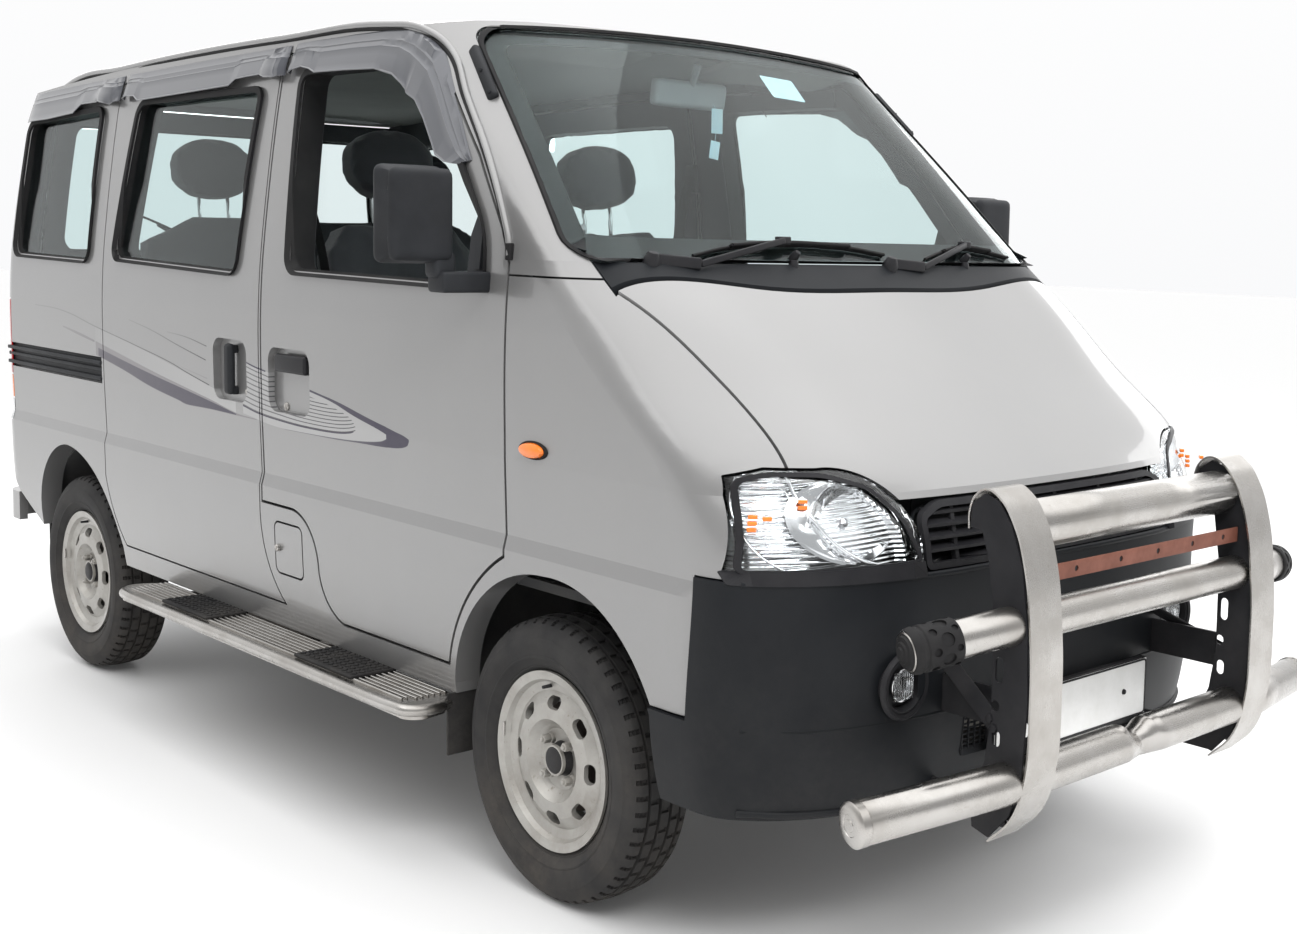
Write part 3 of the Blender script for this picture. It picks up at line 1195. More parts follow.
for side in ("right", "left"):
    makeHeadlamp(side)
print("stage: headlamps made")

# fog lamps
fogLamp = {"place": (437, -706, 546), "radius": 0.052}


def makeFogLamps():
    place = at(-fogLamp["place"][0], *fogLamp["place"][1:])
    r = fogLamp["radius"]
    bezel, reflector, lens = bmesh.new(), bmesh.new(), bmesh.new()
    addLathe(bezel, [(r - 0.001, -0.040), (r - 0.001, 0.003), (r + 0.006, 0.005), (r + 0.010, 0.001),
                     (r + 0.011, -0.004), (r + 0.009, -0.006), (r + 0.002, 0.0), (r - 0.006, 0.001),
                     (r - 0.011, -0.010), (r - 0.013, -0.038)], place, (0, -1, 0), 64, closed=True)
    addBlock(bezel, place + Vector((0, 0.018, 0)), (0.078, 0.004, 0.078), 0.002)
    addLathe(reflector, [(0.026, -0.006), (0.024, -0.012), (0.018, -0.015), (0.008, -0.017), (0, -0.0175)],
             place, (0, -1, 0), 48)
    bmesh.ops.scale(reflector, vec=(1.1, 1, 1.15), verts=reflector.verts,
                    space=Matrix.Translation(-place))
    bmesh.ops.solidify(reflector, geom=reflector.faces[:], thickness=0.001)
    addBlock(lens, place + Vector((0, 0.004, 0)), (0.050, 0.004, 0.052), 0.0018)
    for part, name, material in ((bezel, "fogBezels", blackPlastic), (reflector, "fogReflectors", chrome),
                                 (lens, "fogLenses", fluteGlass)):
        mirrorAcross(part)
        finishPiece(part, name, material, "body", 40, ("fog_lamps",) if name == "fogBezels" else ())


fluteGlass = makeGlass("fluteGlass", (0.93, 0.95, 0.96), 0.03, 1.45, 1100.0)
makeFogLamps()

# grille: slats between the lamps, and the intake's mesh below
grilleShape = {"half": 384, "slats": (764, 786, 808, 830, 852), "depth": 0.020, "thick": 0.006}


def makeGrille():
    spec = grilleShape
    build = bmesh.new()
    for z in spec["slats"]:
        reach = spec["half"] - 6 - 0.22 * abs(z - 800)
        places = [frontPlace(reach * share, z, -700, -0.004) for share in
                  (-1, -0.85, -0.65, -0.4, -0.15, 0.15, 0.4, 0.65, 0.85, 1)]
        part = bmesh.new()
        addRibbon(part, places, Vector((0, spec["depth"], 0.006)), spec["thick"])
        joinInto(build, part)
    frameLine = [(-386, 750), (386, 750), (390, 848), (340, 872), (-340, 872), (-390, 848)]
    addBand(build, [at(x, -700, z) for x, z in frameLine], 0.016, 0.012,
            lambda p: frontPlace(p.x * 1000, p.z * 1000, -700, 0.001), 0.012)
    for x in (-300, -150, 0, 150, 300):
        top, low = frontPlace(x, 866, -700, -0.012), frontPlace(x, 756, -700, -0.012)
        addBar(build, low, top, 0.010, 0.012)
    finishPiece(build, "grilleSlats", blackPlastic, "body", 40, ("grille",))
    back = bmesh.new()
    backLine = [(-380, 756), (380, 756), (384, 846), (336, 866), (-336, 866), (-384, 846)]
    addBand(back, [at(x, -700, z) for x, z in backLine], 0.016, 0.004,
            lambda p: frontPlace(p.x * 1000, p.z * 1000, -700, -0.030), 0.004)
    panel = bmesh.new()
    addBlock(panel, at(0, -628, 808), (0.70, 0.004, 0.12), 0.001)
    joinInto(back, panel)
    finishPiece(back, "grilleBacking", printInk)
    mesh = bmesh.new()
    for i in range(9):
        addBar(mesh, at(-276, -700, 392 + i * 9.5), at(276, -700, 392 + i * 9.5), 0.0025, 0.004, 0)
    for i in range(31):
        addBar(mesh, at(-270 + i * 18, -703, 388), at(-270 + i * 18, -703, 472), 0.0025, 0.004, 0)
    addBand(mesh, [frontPlace(x, z, -700, 0.001) for x, z in
                   ((-283, 383), (283, 383), (283, 477), (-283, 477))], 0.012, 0.012,
            lambda p: frontPlace(p.x * 1000, p.z * 1000, -700, 0.002), 0.006)
    finishPiece(mesh, "intakeMesh", glovePlastic)


makeGrille()


# wipers on the cowl, with washer jets
wipers = {
    "arms": [  # pivot, bend, hand; blade start, middle, end
        {"pivot": (-566, -128, 1262), "knee": (-470, -118, 1286), "hand": (-226, -70, 1343),
         "blade": [(-470, -72, 1300), (-360, -52, 1318), (-226, -40, 1326), (-40, -28, 1322), (66, -40, 1308)]},
        {"pivot": (66, -176, 1256), "knee": (170, -146, 1284), "hand": (372, -78, 1340),
         "blade": [(205, -66, 1300), (290, -54, 1316), (372, -42, 1326), (470, -26, 1318), (545, -18, 1306)]},
    ],
    "jets": [(-212, -158, 1262), (352, -148, 1262)],
}


def makeWipers():
    build, rods = bmesh.new(), bmesh.new()
    for arm in wipers["arms"]:
        pivot, knee = onSkin("top", at(*arm["pivot"]), 0.004, 0.2), at(*arm["knee"])
        blade = []
        for x, s, z in arm["blade"]:
            place = frontPlace(x, z, s, 0.006, 0.4)
            blade.append(place)
        hand = blade[2] + Vector((0, -0.022, 0.010))
        addLathe(build, [(0, 0.020), (0.010, 0.018), (0.014, 0.010), (0.018, 0.0), (0.018, -0.012), (0, -0.012)],
                 pivot, (0, -0.35, 1), 32)
        knee.y = min(knee.y, frontPlace(arm["knee"][0], arm["knee"][2], arm["knee"][1], 0.016, 0.4).y)
        addBar(build, pivot + Vector((0, 0, 0.004)), knee, 0.024, 0.011, 0.004)
        addBar(build, knee, hand, 0.014, 0.008, 0.003)
        addBar(build, hand + Vector((-0.020, 0.004, 0)), hand + Vector((0.020, 0.006, 0)), 0.016, 0.012, 0.003)
        addPipe(rods, [p + Vector((0, -0.004, 0.002)) for p in blade], 0.0034)
        bow = [p + Vector((0, -0.012, 0.006)) for p in blade[1:4]]
        addPipe(rods, bow, 0.0042)
        for a, b in ((blade[1], bow[0]), (blade[3], bow[2]), (blade[2], bow[1])):
            addRod(rods, a, b + Vector((0, -0.001, 0.001)), 0.0042, sides=12)
        part = bmesh.new()
        addRibbon(part, blade, Vector((0, 0.006, -0.005)), 0.0016)
        joinInto(rods, part)
    for place in wipers["jets"]:
        foot = onSkin("top", at(*place), 0.0, 0.2)
        addRod(build, foot + Vector((0, 0, -0.012)), foot + Vector((0, 0, 0.010)), 0.013, 0.009, 24)
        addLathe(build, [(0, 0.020), (0.006, 0.018), (0.009, 0.010), (0.009, -0.006), (0, -0.008)],
                 foot + Vector((0.002, 0.004, 0.014)), (0.1, -0.7, 0.7), 24)
    finishPiece(build, "wiperArms", blackPlastic)
    finishPiece(rods, "wiperBlades", rubber)


makeWipers()
print("stage: front trim made")

# drip rails, vents and side lamps
sideTrim = {
    "rail": [(113, 1292), (120, 1322), (140, 1362), (226, 1486), (350, 1618), (446, 1716), (520, 1760),
             (700, 1784), (1176, 1799), (1700, 1786), (2143, 1765), (2500, 1742), (2836, 1716)],
    "marker": (17, 916), "vent": [(296, 1612), (412, 1724)],
}


def railPlace(s, z, lift):
    if s < 480:
        return sidePlace(s, z, lift, 0.25)
    return onSkin("top", at(-655 - lift * 700, s, z), 0.004, 0.2)


def makeSideTrim():
    spec = sideTrim
    rail, seal = bmesh.new(), bmesh.new()
    addPipe(rail, [railPlace(s, z, 0.002) for s, z in spec["rail"]], 0.0075)
    addPipe(seal, [railPlace(s + 7, z - 3, 0.001) + Vector((0, 0, -0.010 if s > 480 else 0.0))
                   for s, z in spec["rail"]], 0.0055)
    addBlock(seal, sidePlace(113, 1300, 0.003), (0.012, 0.018, 0.034), 0.003)
    vent = bmesh.new()
    low, high = (sidePlace(s, z, 0.002, 0.25) for s, z in spec["vent"])
    addBar(vent, low, high, 0.020, 0.026, 0.0075)
    for share in (0.12, 0.55):
        spot = low.lerp(high, share) + Vector((-0.008, -0.006, 0))
        addRod(vent, spot, spot + Vector((-0.006, -0.004, 0.001)), 0.0045, sides=20)
    marker, rim = bmesh.new(), bmesh.new()
    centre = sidePlace(*spec["marker"])
    addLathe(marker, [(0, 0.0145), (0.010, 0.0138), (0.0145, 0.011), (0.016, 0.004), (0.016, -0.004),
                      (0, -0.004)], (0, 0, 0), (-1, 0, 0), 48)
    addLathe(rim, [(0.0155, -0.003), (0.0155, 0.004), (0.018, 0.005), (0.0195, 0.001), (0.0195, -0.003)],
             (0, 0, 0), (-1, 0, 0), 48, closed=True)
    for part in (marker, rim):
        part.transform(Matrix.Translation(centre) @ Matrix.Diagonal((1, 2.45, 0.95, 1)))
    for part, name, material in ((rail, "dripRails", silver), (seal, "dripSeals", rubber),
                                 (vent, "pillarVents", glovePlastic), (marker, "sideMarkers", amberPaint),
                                 (rim, "sideMarkerRims", rubber)):
        mirrorAcross(part)
        finishPiece(part, name, material)


makeSideTrim()

# handles, locks and the rear door rails
handles = {"flap": (1005, 1012, 150, 44), "lock": (1060, 905), "grip": (1322, 975), "rail": (2130, 2870, 875, 950),
           "fuelLock": (1072, 562)}


def addLock(build, place, radius=0.011):
    addLathe(build, [(0, 0.0036), (radius * 0.42, 0.0036), (radius * 0.45, 0.0030), (radius * 0.8, 0.0042),
                     (radius, 0.0026), (radius, -0.004), (0, -0.004)], place, (-1, 0, 0), 32)
    addBlock(build, place + Vector((-0.0040, 0, 0)), (0.0012, 0.0014, radius * 0.7), 0.0003)


def makeHandles():
    spec = handles
    s, z, length, height = spec["flap"]
    for side in ("right", "left"):
        mine = (lambda part: flipped(part)) if side == "left" else (lambda part: part)
        flap = bmesh.new()
        addBlock(flap, at(-733, s, z), (0.016, length / 1000, height / 1000), 0.007, segments=5)
        addBlock(flap, at(-722, s, z + 12), (0.016, length / 1000 * 0.8, 0.014), 0.003)
        addBlock(flap, at(-724, s, z - 20), (0.006, length / 1000 * 0.92, 0.004), 0.0015)
        finishPiece(mine(flap), "doorHandle_" + side, blackPlastic, "front_door_" + side)
        lock = bmesh.new()
        addLock(lock, at(-738, *spec["lock"]))
        lock.transform(Matrix.Translation((0.021, 0, 0)))
        finishPiece(mine(lock), "doorLock_" + side, steel, "front_door_" + side)
        rim = bmesh.new()
        addBand(rim, [at(-737, a, b) for a, b in ((914, 894), (1114, 894), (1114, 1046), (914, 1046))], 0.035, 0.003,
                lambda p: onSkin("side", p, 0.0004, 0.1), 0.0012)
        finishPiece(mine(rim), "handleRim_" + side, silver, "front_door_" + side)
    grip, rails = bmesh.new(), bmesh.new()
    gs, gz = spec["grip"]
    addBlock(grip, at(-734, gs + 6, gz + 2), (0.020, 0.034, 0.128), 0.010, segments=5)
    for end in (-52, 52):
        addBlock(grip, at(-724, gs + 6, gz + end), (0.018, 0.030, 0.020), 0.004)
    addLock(rails, at(-718, gs - 62, gz - 52), 0.010)
    mirrorAcross(grip)
    finishPiece(grip, "slidingHandles", glovePlastic)
    mirrorAcross(rails)
    finishPiece(rails, "slidingLocks", steel)
    rear = bmesh.new()
    first, last, low, high = spec["rail"]
    middle = (first + last) / 2
    addBlock(rear, at(-726, middle, (low + high) / 2),
             (0.006, (last - first) / 1000 - 0.004, (high - low) / 1000 - 0.004),
             0.0015)
    for zRib, proud in ((high - 16, 0.014), ((low + high) / 2 + 2, 0.010), (low + 14, 0.013)):
        addBlock(rear, at(-726 - proud * 500, middle, zRib), (proud, (last - first) / 1000 - 0.006, 0.011), 0.003)
    mirrorAcross(rear)
    finishPiece(rear, "slideRails", glovePlastic)
    fuel = bmesh.new()
    addLock(fuel, at(-739, *spec["fuelLock"]), 0.009)
    finishPiece(fuel, "fuelLock", steel, "fuel_lid")


makeHandles()
print("stage: side trim made")

# the front guard
guard = {
    "strip": [(-812, 846), (-813, 880), (-826, 908), (-850, 921), (-880, 910), (-912, 872), (-940, 800),
              (-957, 690), (-963, 560), (-955, 420), (-930, 350), (-880, 298)],
    "plate": [(-818, 850), (-822, 892), (-850, 912), (-880, 902), (-908, 866), (-935, 796), (-951, 690),
              (-957, 560), (-949, 424), (-925, 356), (-882, 308), (-845, 318), (-838, 372), (-868, 440),
              (-880, 520), (-878, 700), (-862, 800), (-846, 846)],
    "slots": [(-895, 610, 46), (-892, 488, 30), (-888, 545, 20)],
    "inner": 318, "outer": 403,
}


def makeGuard():
    spec = guard
    strips, plates, slots = bmesh.new(), bmesh.new(), bmesh.new()
    addRibbon(strips, [at(-spec["outer"] - 2, s, z) for s, z in spec["strip"]],
              Vector(((spec["outer"] - spec["inner"] + 4) / 1000, 0, 0)), 0.0035)
    for x in (spec["outer"], spec["inner"] + 5):
        addPlate(plates, [at(-x, s, z) for s, z in spec["plate"]], 0.004)
    for s, z, length in spec["slots"]:
        addRod(slots, at(-450, s, z - length / 2 + 9), at(-280, s, z - length / 2 + 9), 0.009, sides=20, bevel=0)
        addRod(slots, at(-450, s, z + length / 2 - 9), at(-280, s, z + length / 2 - 9), 0.009, sides=20, bevel=0)
        addBlock(slots, at(-365, s, z), (0.17, 0.018, (length - 18) / 1000), 0)
    bmesh.ops.recalc_face_normals(plates, faces=plates.faces)
    cutAway(plates, slots)
    mirrorAcross(strips)
    mirrorAcross(plates)
    finishPiece(strips, "guardStrips", steelUpright, "body", 40, ("guard_uprights",))
    finishPiece(plates, "guardPlates", blackPlastic, "body", 40)
    tubes = skinCopy("guard_tubes", lambda n, c: True)
    for i in range(30):
        bmesh.ops.bisect_plane(tubes, geom=tubes.verts[:] + tubes.edges[:] + tubes.faces[:],
                               plane_co=(-0.110 + i * 0.007, 0, 0), plane_no=(1, 0, 0))
    for vert in tubes.verts:  # the old knock in the lowest tube
        reach = 1 - abs(vert.co.x + 0.012 + (vert.co.z - 0.413) * 0.35) / 0.060
        if reach > 0 and vert.co.z < 0.46:
            face = max(0.0, (vert.co.z - 0.405) / 0.038)
            vert.co.z -= 0.020 * reach * face
            vert.co.y += 0.016 * reach * max(0.0, (frontAxleY - 0.905 - vert.co.y) / 0.038)
            vert.co.z += 0.006 * math.exp(-((reach - 0.35) / 0.16) ** 2) * face
    finishPiece(tubes, "guardTubes", steel, "body", 26, ("guard_tubes",))
    caps, discs = bmesh.new(), bmesh.new()
    tip = at(-600, -850, 664)
    back = (at(-420, -915, 691) - tip).normalized()
    addLathe(caps, [(0.0, 0.014), (0.010, 0.013), (0.012, 0.010), (0.018, 0.0095), (0.020, 0.006), (0.027, 0.005),
                    (0.029, 0.001), (0.036, -0.002), (0.0395, -0.008), (0.0405, -0.016), (0.0385, -0.020),
                    (0.0385, -0.024), (0.0405, -0.027), (0.0405, -0.088), (0.0385, -0.092), (0.0345, -0.093),
                    (0.0345, -0.001), (0.0, -0.001)], tip, -back, 64)
    holes = bmesh.new()
    sideways = back.cross(Vector((0, 0, 1))).normalized()
    up = sideways.cross(back).normalized()
    for row, (down, radius) in enumerate(((0.040, 0.0075), (0.062, 0.0125), (0.082, 0.006))):
        for i in range(7):
            turn = 2 * math.pi * (i + 0.5 * (row % 2)) / 7
            ray = sideways * math.cos(turn) + up * math.sin(turn)
            spot = tip + back * down
            addRod(holes, spot + ray * 0.036, spot + ray * 0.060, radius, sides=20, bevel=0)
    bmesh.ops.recalc_face_normals(caps, faces=caps.faces)
    cutAway(caps, holes)
    mirrorAcross(caps)
    finishPiece(caps, "guardCaps", rubber, "body", 30)
    lowTip = at(-715, -845, 395)
    lowBack = (at(-420, -915, 413) - lowTip).normalized()
    addLathe(discs, [(0, 0.0042), (0.010, 0.0040), (0.011, 0.0030), (0.018, 0.0030), (0.019, 0.0042),
                     (0.032, 0.0040), (0.0375, 0.0005), (0.0395, -0.0015), (0.0395, -0.016), (0.0380, -0.017)],
             lowTip, -lowBack, 64)
    mirrorAcross(discs)
    finishPiece(discs, "guardEndCaps", steel, "body", 34)
    strap, strapHoles = bmesh.new(), bmesh.new()
    addBlock(strap, at(0, -919.5, 770), (0.634, 0.003, 0.030), 0.001)
    for x in (-230, -92, 30, 150, 262):
        addRod(strapHoles, at(x, -940, 770), at(x, -900, 770), 0.0055, sides=20, bevel=0)
    cutAway(strap, strapHoles)
    finishPiece(strap, "guardStrap", rustySteel)
    stays = bmesh.new()
    for side in (-1, 1):
        addBar(stays, at(side * 330, -700, 585), at(side * 395, -890, 500), 0.004, 0.030, 0.001)
        for s, z in ((-886, 505), (-876, 520)):
            addRod(stays, at(side * 410, s, z), at(side * 392, s, z), 0.008, sides=6)
    finishPiece(stays, "guardStays", blackPlastic)


makeGuard()

# number plates, blank


def makePlate(name, place, face, body):
    build, rim = bmesh.new(), bmesh.new()
    addBlock(build, place, (0.500, 0.0026, 0.118), 0.0012)
    addBand(rim, [place + Vector((x, 0, z)) for x, z in ((-0.250, -0.059), (0.250, -0.059), (0.250, 0.059),
                                                         (-0.250, 0.059))], 0.010, 0.004,
            lambda p: Vector((p.x, place.y + face * 0.0022, p.z)), 0.0014)
    for x in (-0.17, 0.17):
        addRod(rim, place + Vector((x, 0, 0)), place + Vector((x, face * 0.0052, 0)), 0.0062, 0.0050, 24)
    backing = bmesh.new()
    addBlock(backing, place - Vector((0, face * 0.010, 0)), (0.506, 0.016, 0.122), 0.003)
    finishPiece(build, name, whitePlate, body)
    finishPiece(rim, name + "Rim", blackPlastic, body)
    finishPiece(backing, name + "Backing", blackPlastic, body)


makePlate("frontPlate", at(28, -743, 427), -1, "body")
makePlate("rearPlate", at(0, 2935, 765), 1, "tailgate")
print("stage: guard and plates made")

# side steps: ribbed tops, pads and a round nose
stepShape = {"pads": (705, 1420), "padLength": 0.26, "first": 360, "last": 1770}


def makeSteps():
    spec = stepShape
    ribs, pads, nose = bmesh.new(), bmesh.new(), bmesh.new()
    middle, length = (spec["first"] + spec["last"]) / 2, (spec["last"] - spec["first"]) / 1000
    for x in (-716, -730, -744, -758, -772, -786, -800, -812):
        addBlock(ribs, at(x, middle, 354), (0.0065, length - (0.03 if x < -795 else 0.0), 0.006), 0.002)
    for s in spec["pads"]:
        addBlock(pads, at(-764, s, 358), (0.112, spec["padLength"], 0.008), 0.003)
        for row in range(12):
            for column in range(5):
                addBlock(pads, at(-803 + column * 19.5, s - 115 + row * 21, 363), (0.011, 0.012, 0.004), 0.0015,
                         Matrix.Rotation(math.radians(45), 4, "Z"), 1)
    addPipe(nose, [at(-712, 346, 340), at(-752, 322, 340), at(-792, 318, 340), at(-820, 334, 340),
                   at(-829, 372, 340), at(-829, 1062, 340), at(-829, 1750, 340), at(-818, 1788, 340),
                   at(-786, 1804, 340), at(-712, 1770, 340)], 0.0135, roundness=5)
    for build, name, material in ((ribs, "stepRibs", steelUpright), (pads, "stepPads", rubber),
                                  (nose, "stepNoses", steel)):
        mirrorAcross(build)
        finishPiece(build, name, material)


makeSteps()


# mirrors: glass in the housing, a foot and the sail behind it
mirrorShape = {"centre": (-875, 222, 1368), "size": (0.150, 0.074, 0.192)}


def makeMirrors():
    spec = mirrorShape
    for side in ("right", "left"):
        body = "front_door_" + side
        mine = (lambda part: flipped(part)) if side == "left" else (lambda part: part)
        housing, glass = bmesh.new(), bmesh.new()
        bmesh.ops.create_cube(housing, size=1)
        bmesh.ops.scale(housing, vec=spec["size"], verts=housing.verts)
        bmesh.ops.subdivide_edges(housing, edges=housing.edges[:], cuts=3, use_grid_fill=True)
        for vert in housing.verts:
            if vert.co.y < 0:  # the shell's back is drawn in
                vert.co.x *= 0.93
                vert.co.z *= 0.95
        bmesh.ops.bevel(housing, geom=[e for e in housing.edges if e.calc_face_angle(0) > 0.6], offset=0.017,
                        segments=5, profile=0.5, affect="EDGES", material=-1)
        bmesh.ops.smooth_vert(housing, verts=housing.verts, factor=0.4, use_axis_x=True, use_axis_y=True,
                              use_axis_z=True)
        housing.transform(Matrix.Translation(at(*spec["centre"])))
        foot = bmesh.new()
        addBlock(foot, at(-780, 207, 1237), (0.116, 0.061, 0.042), 0.007)
        addBlock(foot, at(-822, 214, 1270), (0.050, 0.044, 0.052), 0.011)
        joinInto(housing, foot)
        finishPiece(mine(housing), "mirrorBody_" + side, glovePlastic, body, 34, ("mirror_" + side,))
        addBlock(glass, at(-875, 258, 1368), (0.132, 0.003, 0.172), 0.0012)
        finishPiece(mine(glass), "mirrorGlass_" + side, mirrorSilver, body)
        sail = bmesh.new()
        corners = [(206, 1240), (262, 1238), (262, 1330), (236, 1392), (222, 1376), (208, 1342)]
        addPlate(sail, [at(-722, s, z) for s, z in corners], 0.010)
        addPlate(sail, [at(-733, s, z) for s, z in ((212, 1262), (232, 1262), (234, 1340), (226, 1358), (214, 1340))],
                 0.004)
        for vert in sail.verts:
            vert.co.x += (vert.co.z - 1.24) * 0.125
        finishPiece(mine(sail), "mirrorSail_" + side, glovePlastic, body)


makeMirrors()

# visors: stations of their upper and lower edges, and how far they stand off the skin on the way down
visorShape = {
    "front": [((1104, 1773), (1104, 1698)), ((1078, 1774), (1078, 1706)), ((1030, 1775), (1030, 1711)),
              ((990, 1775), (990, 1704)), ((962, 1775), (962, 1694)), ((820, 1777), (820, 1692)),
              ((690, 1776), (690, 1688)), ((600, 1771), (617, 1672)), ((545, 1759), (578, 1650)),
              ((500, 1741), (548, 1628)), ((460, 1714), (508, 1613)), ((425, 1675), (462, 1571)),
              ((385, 1626), (424, 1525)), ((345, 1574), (400, 1494)), ((305, 1514), (360, 1479)),
              ((283, 1483), (312, 1474))],
    "sliding": [((1128, 1770), (1128, 1697)), ((1150, 1770), (1150, 1692)), ((1200, 1769), (1200, 1694)),
                ((1240, 1768), (1240, 1703)), ((1300, 1767), (1300, 1701)), ((1362, 1766), (1362, 1698)),
                ((1396, 1765), (1396, 1683)), ((1662, 1759), (1662, 1675)), ((1945, 1751), (1945, 1667)),
                ((1975, 1750), (1975, 1681)), ((2030, 1749), (2030, 1683)), ((2066, 1748), (2066, 1675))],
    "quarter": [((2098, 1746), (2098, 1674)), ((2133, 1745), (2133, 1664)), ((2200, 1743), (2200, 1675)),
                ((2340, 1739), (2340, 1672)), ((2396, 1737), (2396, 1648)), ((2588, 1731), (2588, 1637)),
                ((2770, 1721), (2786, 1633))],
    "profile": [(0, 0.5), (0.04, 5), (0.20, 7.5), (0.235, 9.5), (0.27, 8), (0.36, 10.5), (0.395, 13.5),
                (0.43, 12.5), (0.6, 15), (0.8, 18), (0.95, 20), (0.975, 22), (1, 21.5)],
    "domes": {"sliding": (1178, 1722, 62, 36), "quarter": (2176, 1700, 62, 36)}, "domeHigh": 13,
    "thick": 0.0026, "between": 7,
}


def makeVisors():
    spec = visorShape
    for name in ("front", "sliding", "quarter"):
        stations = []
        for (topA, lowA), (topB, lowB) in zip(spec[name], spec[name][1:]):
            for i in range(spec["between"]):
                t = i / spec["between"]
                t = t * t * (3 - 2 * t)
                stations.append((Vector(topA).lerp(Vector(topB), t), Vector(lowA).lerp(Vector(lowB), t)))
        stations.append((Vector(spec[name][-1][0]), Vector(spec[name][-1][1])))
        for side in ("right", "left"):
            build = bmesh.new()
            rows = []
            for i, (top, low) in enumerate(stations):
                ends = min(i, len(stations) - 1 - i)
                row = []
                for share, away in spec["profile"]:
                    s, z = top.lerp(low, share)
                    if name in spec["domes"]:
                        midS, midZ, wide, tall = spec["domes"][name]
                        bulge = 1 - ((s - midS) / wide) ** 2 - ((z - midZ) / tall) ** 2
                        away += spec["domeHigh"] * max(bulge, 0) ** 0.5
                    away *= min(1, 0.35 + ends * 0.22)
                    row.append(build.verts.new(sidePlace(s, z, away / 1000)))
                rows.append(row)
            for a, b in zip(rows, rows[1:]):
                for i in range(len(a) - 1):
                    build.faces.new((a[i], a[i + 1], b[i + 1], b[i]))
            bmesh.ops.recalc_face_normals(build, faces=build.faces)
            bmesh.ops.solidify(build, geom=build.faces[:], thickness=spec["thick"])
            if side == "left":
                flipped(build)
            body = "front_door_" + side if name == "front" else "body"
            gone = {"front": ("front_visor_" + side,), "sliding": ("rear_visors",)}.get(name, ())
            if name == "sliding" and side == "left":
                gone = ()
            finishPiece(build, name + "Visor_" + side, visorPlastic, body, 30, gone)


visorPlastic, tree, shader = newMaterial("visorPlastic", Base_Color=(0.055, 0.058, 0.068), Roughness=0.30,
                                         Coat_Weight=0.8, Coat_Roughness=0.12)
makeVisors()

# tail lamps, rear fittings
tailLamp = {"left": 652, "right": 728, "bands": [(706, 770, "white"), (776, 846, "amber"), (852, 1084, "red")]}


def makeTailLamps():
    tones = {"white": lampGlass, "amber": amberPaint, "red": redPaint}
    for low, high, tone in tailLamp["bands"]:
        part = skinCopy("tail_lamps", lambda n, c: n.y + abs(n.x) > 0.5 and abs(n.z) < 0.7)
        for height, side in ((low, -1), (high, 1)):
            bmesh.ops.bisect_plane(part, geom=part.verts[:] + part.edges[:] + part.faces[:],
                                   plane_co=(0, 0, height / 1000), plane_no=(0, 0, side), clear_outer=True)
        pushOut(part, 0.001)
        bmesh.ops.solidify(part, geom=part.faces[:], thickness=0.004)
        finishPiece(part, "tailLens_" + tone, tones[tone], "body", 40, ("tail_lamps",) if tone == "red" else ())
    back = skinCopy("tail_lamps", lambda n, c: n.y + abs(n.x) > 0.5 and abs(n.z) < 0.7)
    pushOut(back, -0.008)
    bmesh.ops.solidify(back, geom=back.faces[:], thickness=0.002)
    finishPiece(back, "tailLampBack", ribbedChrome, "body", 40)


def makeRearFittings():
    build, red, rods = bmesh.new(), bmesh.new(), bmesh.new()
    handlePlace = rearPlace(0, 860)
    addBlock(build, handlePlace + Vector((0, 0.008, 0)), (0.30, 0.024, 0.050), 0.008)
    addBlock(build, handlePlace + Vector((0, 0.016, -0.020)), (0.16, 0.020, 0.020), 0.005)
    for x in (-110, 110):
        addBlock(build, handlePlace + Vector((x / 1000, 0.010, -0.028)), (0.05, 0.016, 0.010), 0.003)
    lamp = rearPlace(0, 1664)
    addBlock(build, lamp + Vector((0, 0.002, 0.0)), (0.24, 0.012, 0.024), 0.004)
    addBlock(red, lamp + Vector((0, 0.008, 0.0)), (0.21, 0.003, 0.015), 0.001)
    pivot = rearPlace(0, 1196, 0.002)
    addLathe(build, [(0, 0.026), (0.012, 0.024), (0.018, 0.014), (0.020, 0.0), (0.020, -0.006), (0, -0.006)],
             pivot, (0, 1, 0.1), 32)
    hand = rearPlace(-230, 1330, 0.030)
    addBar(build, pivot + Vector((0, 0.022, 0)), hand, 0.014, 0.008, 0.003)
    blade = [rearPlace(x, z, 0.012) for x, z in ((-80, 1262), (-230, 1330), (-400, 1396))]
    addPipe(rods, blade, 0.004)
    addRod(rods, blade[1], hand, 0.004, sides=12)
    finishPiece(build, "tailgateFittings", blackPlastic, "tailgate")
    finishPiece(red, "highStopLamp", redPaint, "tailgate")
    finishPiece(rods, "rearWiperBlade", rubber, "tailgate")
    lock = bmesh.new()
    addLathe(lock, [(0, 0.004), (0.010, 0.004), (0.012, 0.001), (0.012, -0.004), (0, -0.004)],
             rearPlace(0, 905, 0.0), (0, 1, 0), 32)
    finishPiece(lock, "tailgateLock", steel, "tailgate")
    pipe = bmesh.new()
    addPipe(pipe, [at(210, 1800, 250), at(212, 2050, 262), at(236, 2250, 210), at(262, 2500, 240), at(420, 2700, 300),
                   at(440, 2880, 318)], 0.021, roundness=5)
    finishPiece(pipe, "tailPipe", underPaint)
    reflectors = bmesh.new()
    for x in (-560, 560):
        addBlock(reflectors, at(x, 2943, 428), (0.080, 0.006, 0.034), 0.003)
    finishPiece(reflectors, "rearReflectors", redPaint)


makeTailLamps()
makeRearFittings()

